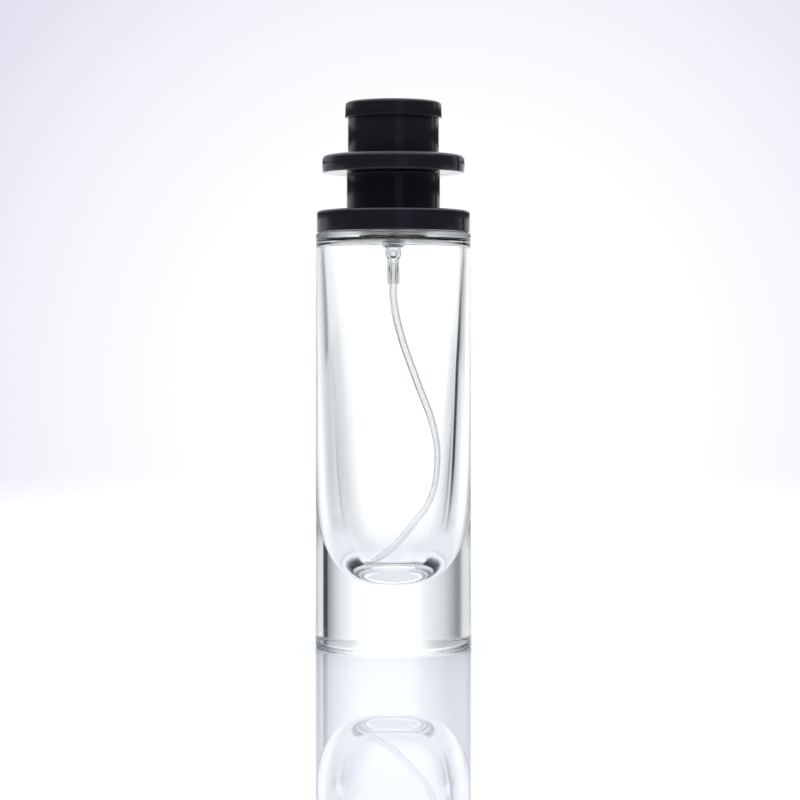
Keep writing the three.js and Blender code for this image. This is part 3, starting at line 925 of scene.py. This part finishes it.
@dataclass
class SprayPump(SubAssembly):
    """The crimped mist pump: everything from the lip to the tip of the dip tube, less the button."""

    gap: float = 0.05
    gland_flange: float = 0.6
    neck_bore: float = 5.2
    bead_radius: float = 7.5
    neck_radius: float = 6.7
    bead_height: float = 3.6
    ferrule_wall: float = 0.4
    chamber_radius: float = 2.8
    chamber_outside: float = 3.7
    spring_chamber_radius: float = 1.95
    spring_chamber_outside: float = 2.6
    piston_room: float = 3.85
    ball_room: float = 2.0
    ball_chamber_radius: float = 1.2
    ball_chamber_outside: float = 1.85
    ball_seat_height: float = 0.7
    inlet_radius: float = 0.6
    inlet_length: float = 1.1
    socket_fit: float = 0.03
    socket_wall: float = 0.45
    step_drop: float = 0.2
    rib_count: int = 3
    rib_pitch: float = 0.95
    rib_height: float = 0.1
    rib_slope: float = 0.05
    rib_flat: float = 0.17
    rib_width: float = 0.22
    rib_ease: float = 0.03
    turret_bore: float = 4.0
    stem_guide: float = 1.7
    stem_radius: float = 1.6
    stem_bore: float = 0.55
    stem_neck: float = 1.1
    valve_radius: float = 1.75
    valve_floor: float = 0.8
    lost_motion: float = 0.55
    piston_fit: float = 0.1
    piston_waist: float = 0.35
    lip_height: float = 0.3
    lip_reach: float = 0.6
    seat_bore: float = 0.7
    port_radius: float = 0.3
    wire_radius: float = 0.18
    spring_turns: float = 5.5
    closed_turns: float = 0.75
    closed_pitch: float = 2.1
    coil_inset: float = 2.5
    coil_steps: int = 24
    ball_steps: int = 24
    tube_radius: float = 0.9
    tube_wall: float = 0.35
    tube_azimuth: float = 21.0
    tube_reach: float = 11.9
    tube_tip: float = 17.95
    tube_route: tuple[tuple[float, float], ...] = (
        (0, 0),
        (0, 0.05),
        (0.154, 0.178),
        (0.482, 0.336),
        (0.93, 0.538),
        (1, 0.63),
        (0.838, 0.767),
        (0.4, 0.865),
        (-0.085, 0.957),
        (-0.45, 1),
    )

    def build(self) -> None:
        """Makes the pump's pieces from the lip down."""
        self.gasket_and_seal()
        self.ferrule()
        self.housing()
        self.gland()
        self.stem()
        self.piston()
        self.spring()
        self.seat_and_ball()
        self.dip_tube()

    def gasket_and_seal(self) -> None:
        """Makes the flat ring under the pump's flange and the small ring round the stem."""
        gasket = Span.of("neck_gasket")
        flat = turned(
            "neck_gasket_ring",
            tube_outline(self.neck_bore, gasket.radius, gasket.bottom, gasket.top, 0.12),
            Fineness.PUMP,
        )
        self.dress(flat, "neck_gasket", Body.BOTTLE, Slot.SEAL, SEAL_RUBBER)
        seal = Span.of("stem_seal")
        small = turned(
            "stem_seal_ring",
            tube_outline(self.stem_radius + self.gap, seal.radius, seal.bottom, seal.top, 0.1),
            Fineness.PUMP,
        )
        self.dress(small, "stem_seal", Body.BOTTLE, Slot.SEAL, SEAL_RUBBER)

    def ferrule(self) -> None:
        """Makes the aluminium cup with its crimped skirt and its turret."""
        span = Span.of("crimp_ferrule")
        lip = Span.of("glass_bottle").top
        flange = Span.of("pump_housing").top
        crimp_top = lip - self.bead_height - self.gap
        crimp = self.neck_radius + (self.bead_radius - self.neck_radius) / 3
        bore = span.radius - self.ferrule_wall
        ceiling = flange + self.gap
        mouth = self.stem_guide + self.ferrule_wall
        turret = self.turret_bore + self.ferrule_wall
        outline = [
            Corner(crimp, span.bottom, 0.12, 4),
            Corner(span.radius, crimp_top, 0.8, 6),
            Corner(span.radius, ceiling + self.ferrule_wall, 0.6, 8),
            Corner(turret, ceiling + self.ferrule_wall, 0.3, 6),
            Corner(turret, span.top, 0.4, 8),
            Corner(mouth, span.top, 0.1, 3),
            Corner(mouth, span.top - self.ferrule_wall),
            Corner(self.turret_bore, span.top - self.ferrule_wall, 0.1, 3),
            Corner(self.turret_bore, ceiling, 0.1, 3),
            Corner(bore, ceiling, 0.3, 5),
            Corner(bore, crimp_top, 0.5, 5),
            Corner(crimp, crimp_top - (self.bead_radius - self.neck_radius)),
        ]
        cup = turned("crimp_ferrule_cup", outline, Fineness.FITTING)
        self.dress(cup, "crimp_ferrule", Body.BOTTLE, Slot.FERRULE, FERRULE_METAL)

    def housing(self) -> None:
        """Makes the stepped clear barrel with its fine ribs, ball seat and tail socket."""
        span = Span.of("pump_housing")
        seat = Span.of("spring_seat")
        ledge = seat.bottom - self.gap
        chamber_bottom = Span.of("piston").bottom - self.piston_room
        step = self.chamber_radius - self.spring_chamber_radius
        flange_bottom = Span.of("neck_gasket").top + self.gap
        socket = self.tube_radius + self.socket_fit
        seat_top = ledge - self.ball_room
        seat_bottom = seat_top - self.ball_seat_height
        tube_stop = seat_bottom - self.inlet_length
        ribs = []
        foot, crest = self.spring_chamber_outside, self.spring_chamber_outside + self.rib_height
        for count in range(self.rib_count):
            height = ledge + self.rib_pitch * (count + 0.5)
            ribs.append(Corner(foot, height))
            ribs.append(Corner(crest, height + self.rib_slope, self.rib_ease, 2))
            ribs.append(Corner(crest, height + self.rib_flat, self.rib_ease, 2))
            ribs.append(Corner(foot, height + self.rib_width))
        outline = [
            Corner(socket, span.bottom, 0.1, 3),
            Corner(socket + self.socket_wall, span.bottom, 0.12, 4),
            Corner(socket + self.socket_wall, seat_bottom - self.step_drop, 0.2, 4),
            Corner(self.ball_chamber_outside, seat_top - self.step_drop, 0.3, 5),
            Corner(self.ball_chamber_outside, ledge - self.step_drop, 0.12, 3),
            Corner(self.spring_chamber_outside, ledge - self.step_drop, 0.2, 5),
            *ribs,
            Corner(self.spring_chamber_outside, chamber_bottom - step, 0.2, 3),
            Corner(self.chamber_outside, chamber_bottom, 0.2, 3),
            Corner(self.chamber_outside, flange_bottom, 0.1, 3),
            Corner(span.radius, flange_bottom, 0.15, 4),
            Corner(span.radius, span.top, 0.15, 4),
            Corner(self.chamber_radius, span.top, 0.15, 4),
            Corner(self.chamber_radius, chamber_bottom, 0.15, 3),
            Corner(self.spring_chamber_radius, chamber_bottom - step, 0.15, 3),
            Corner(self.spring_chamber_radius, ledge, 0.1, 3),
            Corner(self.ball_chamber_radius, ledge, 0.1, 3),
            Corner(self.ball_chamber_radius, seat_top, 0.15, 3),
            Corner(self.inlet_radius, seat_bottom, 0.1, 3),
            Corner(self.inlet_radius, tube_stop),
            Corner(socket, tube_stop),
        ]
        barrel = turned("pump_housing_barrel", outline, Fineness.PUMP)
        self.dress(barrel, "pump_housing", Body.BOTTLE, Slot.CLEAR, HOUSING_CLEAR)

    def gland(self) -> None:
        """Makes the plug that guides the stem."""
        span = Span.of("housing_gland")
        ceiling = Span.of("pump_housing").top + self.gap
        outline = [
            Corner(self.stem_guide, span.bottom, 0.1, 3),
            Corner(self.chamber_radius - self.gap, span.bottom, 0.2, 4),
            Corner(self.chamber_radius - self.gap, ceiling),
            Corner(span.radius, ceiling, 0.1, 3),
            Corner(span.radius, ceiling + self.gland_flange, 0.15, 4),
            Corner(self.chamber_radius + self.gap, span.top, 0.15, 4),
            Corner(self.stem_guide, span.top, 0.1, 3),
        ]
        plug = turned("housing_gland_plug", outline, Fineness.PUMP)
        self.dress(plug, "housing_gland", Body.BOTTLE, Slot.WHITE, PUMP_WHITE)

    def stem(self) -> None:
        """Makes the hollow stem, with the valve's head below and a cross port above it."""
        span = Span.of("stem")
        piston = Span.of("piston")
        valve_top = piston.bottom - self.gap
        shoulder = piston.top + self.lost_motion
        bore_bottom = valve_top + self.valve_floor
        outline = [
            Corner(0, span.bottom),
            Corner(self.valve_radius, span.bottom, 0.15, 4),
            Corner(self.valve_radius, valve_top, 0.1, 3),
            Corner(self.stem_neck, valve_top, 0.08, 3),
            Corner(self.stem_neck, shoulder, 0.08, 3),
            Corner(self.stem_radius, shoulder, 0.1, 3),
            Corner(self.stem_radius, span.top, 0.15, 4),
            Corner(self.stem_bore, span.top, 0.15, 4),
            Corner(self.stem_bore, bore_bottom, 0.1, 3),
            Corner(0, bore_bottom),
        ]
        hollow = turned("pump_stem_tube", outline, Fineness.PUMP)
        port = pin("port_cutter", self.port_radius, -self.stem_radius, self.stem_radius)
        middle = Matrix.Translation((0, 0, (bore_bottom + shoulder) / 2 * MM))
        across = middle @ Matrix.Rotation(math.pi / 2, 4, "Y")
        cut_out(hollow, [moved(port, across)])
        self.dress(hollow, "stem", Body.STEM, Slot.WHITE, PUMP_WHITE)

    def piston(self) -> None:
        """Makes the waisted piston."""
        span = Span.of("piston")
        bore, lip = self.stem_neck + self.piston_fit, span.radius
        waist = lip - self.piston_waist
        outline = [
            Corner(bore, span.bottom, 0.08, 3),
            Corner(lip, span.bottom, 0.06, 3),
            Corner(lip, span.bottom + self.lip_height, 0.06, 3),
            Corner(waist, span.bottom + self.lip_reach, 0.15, 3),
            Corner(waist, span.top - self.lip_reach, 0.15, 3),
            Corner(lip, span.top - self.lip_height, 0.06, 3),
            Corner(lip, span.top, 0.06, 3),
            Corner(bore, span.top, 0.08, 3),
        ]
        plug = turned("pump_piston_plug", outline, Fineness.PUMP)
        self.dress(plug, "piston", Body.PISTON, Slot.WHITE, PUMP_WHITE)

    def spring(self) -> None:
        """Makes the steel spring, with closed end turns."""
        low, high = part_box("return_spring")
        bottom, top = low.z / MM + self.wire_radius, high.z / MM - self.wire_radius
        radius = self.spring_chamber_radius - self.wire_radius * self.coil_inset
        closed, steps = self.closed_turns, round(self.spring_turns * self.coil_steps)
        pitch = self.wire_radius * self.closed_pitch
        points = []
        for step in range(steps + 1):
            turn = self.spring_turns * step / steps
            middle = min(max((turn - closed) / (self.spring_turns - 2 * closed), 0), 1)
            height = bottom + pitch * min(turn, closed) + middle * (top - bottom - 2 * pitch * closed)
            height += pitch * max(turn - self.spring_turns + closed, 0)
            angle = turn * math.tau
            points.append(Vector((radius * math.cos(angle), radius * math.sin(angle), height)))
        wire = swept("return_spring_coil", points, self.wire_radius, sides=3, follow=2)
        self.dress(wire, "return_spring", Body.BOTTLE, Slot.STEEL, SPRING_METAL)
        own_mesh(wire)

    def seat_and_ball(self) -> None:
        """Makes the ring that the spring stands on and the check ball under it."""
        seat = Span.of("spring_seat")
        outline = tube_outline(self.seat_bore, seat.radius, seat.bottom, seat.top, 0.12)
        ring = turned("spring_seat_ring", outline, Fineness.PUMP)
        self.dress(ring, "spring_seat", Body.BOTTLE, Slot.WHITE, PUMP_WHITE)
        ball = Span.of("inlet_ball")
        centre = (ball.bottom + ball.top) / 2
        radius = (ball.top - ball.bottom) / 2
        half_round = [Corner(0, ball.bottom)]
        for step in range(1, self.ball_steps):
            angle = math.pi * step / self.ball_steps
            half_round.append(Corner(radius * math.sin(angle), centre - radius * math.cos(angle)))
        half_round.append(Corner(0, ball.top))
        check = turned("inlet_check_ball", half_round, Fineness.SMALL)
        self.dress(check, "inlet_ball", Body.BALL, Slot.GLASS, BOTTLE_GLASS)

    def dip_tube(self) -> None:
        """Makes the curved tube from its socket to its tip."""
        low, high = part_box("dip_tube")
        mouth = Span.of("pump_housing").bottom
        azimuth = math.radians(self.tube_azimuth)
        points = [Vector((0, 0, high.z / MM))]
        for out, down in self.tube_route:
            distance = out * self.tube_reach
            height = mouth + (self.tube_tip - mouth) * down
            across = (distance * math.cos(azimuth), distance * math.sin(azimuth))
            points.append(Vector((*across, height)))
        tube = swept("dip_tube_hose", points, self.tube_radius, self.tube_wall, sides=8, follow=12)
        self.dress(tube, "dip_tube", Body.BOTTLE, Slot.CLEAR, TUBE_CLEAR)


@dataclass
class SprayButton(SubAssembly):
    """The finger button on the stem and the nozzle pressed into its side."""

    wall: float = 1.0
    hub_wall: float = 1.25
    stem_radius: float = 1.6
    gap: float = 0.05
    nozzle_radius: float = 1.55
    nozzle_wall: float = 0.45
    nozzle_length: float = 2.6
    nozzle_recess: float = 0.35
    nozzle_face: float = 0.9
    orifice: float = 0.15
    feed: float = 0.5
    dish: float = 0.35
    hub_reach: float = 2.7

    def build(self) -> None:
        """Makes the button and its nozzle."""
        span = Span.of("actuator_button")
        nozzle = Span.of("nozzle_insert")
        axis_height = (nozzle.bottom + nozzle.top) / 2
        socket, pocket = self.stem_radius + self.gap, self.nozzle_radius + self.gap
        socket_top = Span.of("stem").top + self.gap
        hub_bottom = Span.of("stem").top - self.hub_reach
        roof = axis_height - pocket - self.wall / 2
        bore = span.radius - self.wall
        outline = [
            Corner(0, socket_top),
            Corner(socket, socket_top),
            Corner(socket, hub_bottom, 0.12, 3),
            Corner(socket + self.hub_wall, hub_bottom, 0.15, 4),
            Corner(socket + self.hub_wall, roof, 0.2, 4),
            Corner(bore, roof, 0.3, 5),
            Corner(bore, span.bottom, 0.12, 4),
            Corner(span.radius, span.bottom, 0.15, 5),
            Corner(span.radius, span.top, 0.5, 10),
            Corner(span.radius - self.wall * 1.2, span.top, 0.5, 8),
            Corner(0, span.top - self.dish),
        ]
        back = span.radius - self.nozzle_recess - self.nozzle_length - self.gap
        turn = Matrix.Translation((0, 0, axis_height * MM)) @ Matrix.Rotation(math.pi / 2, 4, "X")
        riser = pin("riser_cutter", self.feed, socket_top - self.gap, axis_height)
        feed = moved(pin("feed_cutter", self.feed, -self.feed, back + self.gap), turn)
        hole = moved(pin("pocket_cutter", pocket, back, span.radius + self.wall), turn)
        button = cut_out(turned("spray_button_shell", outline, Fineness.PUMP), [riser, feed, hole])
        self.dress(button, "actuator_button", Body.BUTTON, Slot.BLACK, CAP_BLACK)
        face = self.nozzle_length - self.nozzle_face
        cup = [
            Corner(self.nozzle_radius - self.nozzle_wall, 0, 0.08, 3),
            Corner(self.nozzle_radius, 0, 0.08, 3),
            Corner(self.nozzle_radius, self.nozzle_length, 0.12, 4),
            Corner(self.feed, self.nozzle_length, 0.08, 3),
            Corner(self.orifice, self.nozzle_length - self.nozzle_face / 2),
            Corner(self.orifice, face),
            Corner(self.nozzle_radius - self.nozzle_wall, face),
        ]
        seat = Matrix.Translation((0, -(back + self.gap) * MM, 0)) @ turn
        insert = moved(turned("nozzle_insert_cup", cup, Fineness.SMALL), seat)
        self.dress(insert, "nozzle_insert", Body.BUTTON, Slot.BLACK, CAP_BLACK)


@dataclass
class ShoulderCollar(SubAssembly):
    """The black flange over the shoulder, with the spigot that the cap grips."""

    wall: float = 1.22
    plate: float = 1.4
    height: float = 5.0
    spigot_wall: float = 1.1
    top_ease: float = 0.7
    ferrule_gap: float = 0.1
    shoulder_gap: float = 0.05
    spigot_lift: float = 0.15

    def build(self) -> None:
        """Turns the collar."""
        span = Span.of("shoulder_collar")
        spigot_bore = Span.of("crimp_ferrule").radius + self.ferrule_gap
        spigot = spigot_bore + self.spigot_wall
        top = span.bottom - self.shoulder_gap + self.height
        outline = [
            Corner(span.radius - self.wall, span.bottom, 0.1, 3),
            Corner(span.radius, span.bottom, 0.12, 4),
            Corner(span.radius, top, self.top_ease, 10),
            Corner(spigot, top, 0.15, 4),
            Corner(spigot, span.top, 0.35, 6),
            Corner(spigot_bore, span.top, 0.2, 4),
            Corner(spigot_bore, span.bottom + self.spigot_lift, 0.1, 3),
            Corner(spigot, span.bottom + self.spigot_lift, 0.1, 3),
            Corner(spigot, top - self.plate, 0.2, 4),
            Corner(span.radius - self.wall, top - self.plate, 0.3, 4),
        ]
        collar = turned("shoulder_collar_flange", outline, Fineness.BODY)
        self.dress(collar, "shoulder_collar", Body.BOTTLE, Slot.BLACK, CAP_BLACK)


@dataclass
class StackedCap(SubAssembly):
    """The pull-off cap: a liner, two narrow sleeves with a wide ring between, and a closed disc on top."""

    gap: float = 0.05
    liner_wall: float = 0.5
    edge: float = 0.14
    ring_top_ease: float = 0.95
    ring_bottom_ease: float = 0.35
    ring_draft: float = 0.16
    ring_belly_ease: float = 2.0
    disc_taper: float = 0.15
    disc_ease: float = 0.7

    def build(self) -> None:
        """Makes the liner, the sleeves, the ring and the disc."""
        liner = Span.of("cap_liner")
        bore = liner.radius + self.gap
        tube = tube_outline(liner.radius - self.liner_wall, liner.radius, liner.bottom, liner.top, 0.12)
        inside = turned("cap_liner_sleeve", tube, Fineness.FITTING)
        self.dress(inside, "cap_liner", Body.CAP, Slot.BLACK, CAP_BLACK)
        for node in ("cap_lower_sleeve", "cap_upper_sleeve"):
            span = Span.of(node)
            outline = tube_outline(bore, span.radius, span.bottom, span.top, self.edge)
            sleeve = turned(node + "_shell", outline, Fineness.BODY)
            self.dress(sleeve, node, Body.CAP, Slot.BLACK, CAP_BLACK)
        self.middle_ring(bore)
        self.top_disc(bore)

    def middle_ring(self, bore: float) -> None:
        """Makes the wide ring, widest at half its height, with a full round to its upper edge."""
        span = Span.of("cap_middle_ring")
        outline = [
            Corner(bore, span.bottom, self.edge, 3),
            Corner(span.radius - self.ring_draft, span.bottom, self.ring_bottom_ease, 6),
            Corner(span.radius, (span.bottom + span.top) / 2, self.ring_belly_ease, 6),
            Corner(span.radius - self.ring_draft, span.top, self.ring_top_ease, 12),
            Corner(bore, span.top, self.edge, 3),
        ]
        ring = turned("cap_middle_ring_disc", outline, Fineness.BODY)
        self.dress(ring, "cap_middle_ring", Body.CAP, Slot.BLACK, CAP_BLACK)

    def top_disc(self, bore: float) -> None:
        """Makes the closed end, recessed underneath for the liner."""
        span = Span.of("cap_top_disc")
        ceiling = Span.of("cap_liner").top + self.gap
        outline = [
            Corner(0, ceiling),
            Corner(bore, ceiling, self.edge, 3),
            Corner(bore, span.bottom, self.edge, 3),
            Corner(span.radius, span.bottom, self.edge, 5),
            Corner(span.radius - self.disc_taper, span.top, self.disc_ease, 12),
            Corner(0, span.top),
        ]
        disc = turned("cap_top_disc_lid", outline, Fineness.BODY)
        self.dress(disc, "cap_top_disc", Body.CAP, Slot.BLACK, CAP_BLACK)


# -----------------------------------------------------------------------------
# Studio
# -----------------------------------------------------------------------------


@dataclass(frozen=True)
class AzimuthStop:
    """How bright the studio is in one direction: 0 degrees is behind the bottle, positive to its right."""

    degrees: float
    light: float


def azimuth_stops(*rows: tuple[float, float]) -> tuple[AzimuthStop, ...]:
    """Makes a level's stops from rows of degrees and light."""
    return tuple(AzimuthStop(*row) for row in rows)


@dataclass
class Studio:
    """A pale glossy table in a white tent that is open, and so darker, on the camera's side."""

    camera_distance: float = 575.0
    eye_height: float = 71.8
    lens: float = 111.5
    shift_x: float = 0.00825
    shift_y: float = -0.079
    floor_radius: float = 800.0
    overhead: tuple[float, float, float] = (1.95, 1.98, 2.1)
    ground: tuple[float, float, float] = (0.86, 0.88, 0.93)
    tent_light: float = 1.3
    table_colour: tuple[float, float, float] = (0.6, 0.61, 0.635)
    table_roughness: tuple[float, float] = (0.004, 0.016)
    strip_aim: float = 70.0
    strip_degrees: float = 14.0
    strip_distance: float = 900.0
    strip_height: float = 150.0
    strip_size: tuple[float, float] = (300.0, 1100.0)
    strip_light: float = 0.2
    strip_colour: tuple[float, float, float] = (0.55, 0.76, 1.0)
    base_level: tuple[float, float] = (-0.135, -0.145)
    body_level: tuple[float, float] = (-0.088, -0.076)
    flags_bottom: tuple[float, float] = (0.043, 0.05)
    flags_top: tuple[float, float] = (0.112, 0.118)
    ground_level: tuple[float, float] = (-0.2, -0.5)
    overhead_level: tuple[float, float] = (0.3, 0.75)
    # The backdrop's painted pool of light: where its middle is, how far it spreads, its bright middle colour
    # and its darker, bluer edge colour.
    backdrop_aim: tuple[float, float, float] = (0.02, 1.0, -0.02)
    backdrop_degrees: tuple[float, float] = (5.0, 13.0)
    backdrop_painted_glow: tuple[float, float, float] = (1.02, 1.02, 1.03)
    backdrop_painted_falloff: tuple[float, float, float] = (0.76, 0.76, 0.88)
    high_tent: tuple[AzimuthStop, ...] = azimuth_stops(
        (-180, 0.02), (-120, 0.03), (-75, 0.1), (-64, 0.35), (-58, 0.62), (-50, 0.54), (-40, 0.52),
        (-30, 0.56), (-24, 0.66), (-20, 0.71), (-16, 0.78), (-12, 0.9), (-8, 1), (14, 1), (22, 0.9),
        (30, 0.74), (38, 0.62), (45, 0.46), (47.5, 0.3), (48.2, 0.008), (55.5, 0.008), (56.5, 0.7),
        (62, 0.3), (75, 0.08), (120, 0.03), (180, 0.02),
    )
    low_tent: tuple[AzimuthStop, ...] = azimuth_stops(
        (-180, 0.02), (-120, 0.03), (-100, 0.12), (-80, 0.72), (-66, 0.85), (-55, 0.7), (-51, 0.54),
        (-47, 0.25), (-42, 0.25), (-35, 0.43), (-30, 0.56), (-24, 0.66), (-20, 0.71), (-16, 0.78),
        (-12, 0.9), (-8, 1), (16, 1), (20, 0.9), (26, 0.75), (31, 0.67), (36, 0.54), (40, 0.41),
        (46, 0.22), (46.8, 0.01), (54, 0.01), (55, 0.7), (64, 0.8), (76, 0.7), (100, 0.12),
        (120, 0.03), (180, 0.02),
    )
    flagged_tent: tuple[AzimuthStop, ...] = azimuth_stops(
        (-180, 0.02), (-120, 0.02), (-60, 0.03), (-30, 0.03), (-22, 0.05), (-14, 1), (14, 1),
        (22, 0.05), (30, 0.03), (60, 0.03), (120, 0.02), (180, 0.02),
    )

    def build(self) -> None:
        """Sets up the table, the lights, the surroundings and the camera."""
        self.table()
        self.lights()
        self.surroundings()
        self.camera()
        scene = bpy.context.scene
        scene.view_settings.view_transform = "Standard"
        scene.cycles.max_bounces = scene.cycles.transmission_bounces = 24

    def table(self) -> None:
        """Lays the glossy white table."""
        deselect_all()
        bpy.ops.mesh.primitive_circle_add(vertices=96, radius=self.floor_radius * MM, fill_type="NGON")
        floor = bpy.context.object
        floor.name = "studio_table"
        paint = bpy.data.materials.new("table_white")
        paint.use_nodes = True
        graph = NodeGraph(paint.node_tree)
        surface = paint.node_tree.nodes["Principled BSDF"]
        surface.inputs["Base Color"].default_value = (*self.table_colour, 1)
        place = graph.add("TexCoord").outputs["Object"]
        smears = graph.noise(place, 9.0, 3.0)
        graph.feed(surface.inputs["Roughness"], graph.remap(smears, 0.3, 0.7, *self.table_roughness))
        outward = graph.add("VectorMath", "distance from the bottle", operation="LENGTH")
        graph.feed(outward.inputs[0], place)
        edge = self.floor_radius * MM
        near = graph.remap(outward.outputs["Value"], edge * 0.2, edge, 1.0, 0.0)
        near.node.interpolation_type = "SMOOTHSTEP"
        through_glass = graph.add("LightPath").outputs["Is Transmission Ray"]
        graph.feed(surface.inputs["Alpha"], graph.maths("SUBTRACT", near, through_glass, clamp=True))
        floor.data.materials.append(paint)

    def soft_box(self, name: str, place: Vector, size: tuple[float, float], light: float) -> None:
        """Hangs a rectangular lamp that faces the bottle.

        Args:
            name: the lamp's name.
            place: where its centre is, in millimetres.
            size: its width and height, in millimetres.
            light: its brightness, where 1 is as bright as white paper.
        """
        target = Vector((0, 0, self.strip_aim))
        lamp = bpy.data.lights.new(name, "AREA")
        lamp.shape = "RECTANGLE"
        lamp.size, lamp.size_y = size[0] * MM, size[1] * MM
        lamp.energy = light * math.pi * lamp.size * lamp.size_y
        lamp.color = self.strip_colour
        holder = bpy.data.objects.new(name, lamp)
        bpy.context.collection.objects.link(holder)
        holder.location = place * MM
        holder.rotation_euler = (target - place).to_track_quat("-Z", "Y").to_euler()

    def lights(self) -> None:
        """Hangs a dim strip lamp in front, a little to the right."""
        angle, reach = math.radians(self.strip_degrees), self.strip_distance
        front = Vector((reach * math.sin(angle), -reach * math.cos(angle), self.strip_height))
        self.soft_box("front_strip", front, self.strip_size, self.strip_light)

    def tent_ramp(self, graph: NodeGraph, around: Socket, tent: Sequence[AzimuthStop]) -> object:
        """Shades one level of the tent by direction, a little bluer where it is dim.

        Args:
            graph: the world's tree.
            around: the direction's azimuth, in radians.
            tent: the level's stops in order.

        Returns:
            The colour's output.
        """
        ramp = graph.add("ValToRGB", "round the bottle")
        graph.feed(ramp.inputs[0], graph.remap(around, -math.pi, math.pi, 0.0, 1.0))
        stops = ramp.color_ramp.elements
        while len(stops) > 1:
            stops.remove(stops[-1])
        for number, stop in enumerate(tent):
            mark = stops[0] if number == 0 else stops.new((stop.degrees + 180) / 360)
            warm = 0.88 + 0.1 * stop.light
            mark.color = (stop.light * warm, stop.light * (warm + 1) / 2, stop.light, 1)
        return ramp.outputs[0]

    def surroundings(self) -> None:
        """Paints the tent, which lights the bottle and is mirrored in it, and the backdrop that only the
        camera sees, with a painted pool of light: brightest in its middle, darker and bluer towards its
        edges.
        """
        world = bpy.data.worlds.new("white_tent")
        bpy.context.scene.world = world
        world.use_nodes = True
        world.node_tree.nodes.clear()
        graph = NodeGraph(world.node_tree)
        parts = graph.add("SeparateXYZ")
        direction = graph.add("TexCoord").outputs["Generated"]
        graph.feed(parts.inputs[0], direction)
        around = graph.maths("ARCTAN2", parts.outputs["X"], parts.outputs["Y"])
        rise = parts.outputs["Z"]
        upper = graph.remap(rise, *self.body_level, 0.0, 1.0)
        lower = graph.remap(rise, *self.base_level, 0.0, 1.0)
        level = graph.maths("ADD", upper, lower, clamp=True)
        low = self.tent_ramp(graph, around, self.low_tent)
        walls = graph.blend_colours(level, low, self.tent_ramp(graph, around, self.high_tent))
        shade_bottom = graph.remap(rise, *self.flags_bottom, 0.0, 1.0)
        shade_top = graph.remap(rise, *self.flags_top, 1.0, 0.0)
        flags = graph.maths("MULTIPLY", shade_bottom, shade_top)
        lit = graph.add("VectorMath", operation="SCALE")
        flagged = self.tent_ramp(graph, around, self.flagged_tent)
        graph.feed(lit.inputs[0], graph.blend_colours(flags, walls, flagged))
        lit.inputs["Scale"].default_value = self.tent_light
        below = graph.remap(rise, *self.ground_level, 0.0, 1.0)
        grounded = graph.blend_colours(below, lit.outputs[0], (*self.ground, 1))
        above = graph.remap(rise, *self.overhead_level, 0.0, 1.0)
        tent = graph.blend_colours(above, grounded, (*self.overhead, 1))
        # Painted pool of light on the backdrop, seen only by camera rays: bright in the middle, darker and
        # bluer towards the edges.
        aim = graph.add("VectorMath", "towards the backdrop's middle", operation="DOT_PRODUCT")
        graph.feed(aim.inputs[0], direction)
        aim.inputs[1].default_value = Vector(self.backdrop_aim).normalized()
        near_edge, far_edge = (math.cos(math.radians(part)) for part in self.backdrop_degrees)
        far = graph.remap(aim.outputs["Value"], near_edge, far_edge, 0.0, 1.0)
        backdrop = graph.blend_colours(far, (*self.backdrop_painted_glow, 1), (*self.backdrop_painted_falloff, 1))
        seen = graph.add("LightPath")
        colour = graph.blend_colours(seen.outputs["Is Camera Ray"], tent, backdrop)
        light = graph.add("Background")
        graph.feed(light.inputs["Color"], colour)
        end = graph.add("OutputWorld")
        graph.feed(end.inputs["Surface"], light.outputs[0])

    def camera(self) -> None:
        """Stands the camera level in front of the bottle."""
        data = bpy.data.cameras.new("camera")
        data.lens = self.lens
        data.shift_x, data.shift_y = self.shift_x, self.shift_y
        data.clip_start, data.clip_end = 0.01, 20
        holder = bpy.data.objects.new("camera", data)
        bpy.context.collection.objects.link(holder)
        holder.location = (0, -self.camera_distance * MM, self.eye_height * MM)
        holder.rotation_euler = (math.pi / 2, 0, 0)
        bpy.context.scene.camera = holder


def main() -> None:
    """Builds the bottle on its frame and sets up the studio."""
    logging.basicConfig(level=logging.INFO, format="%(message)s")
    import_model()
    Studio().build()
    for part in (GlassBottle(), SprayPump(), SprayButton(), ShoulderCollar(), StackedCap()):
        part.build()
        log.info("%s: %d pieces", type(part).__name__, len(part.pieces))
    deselect_all()


if __name__ == "__main__":
    main()
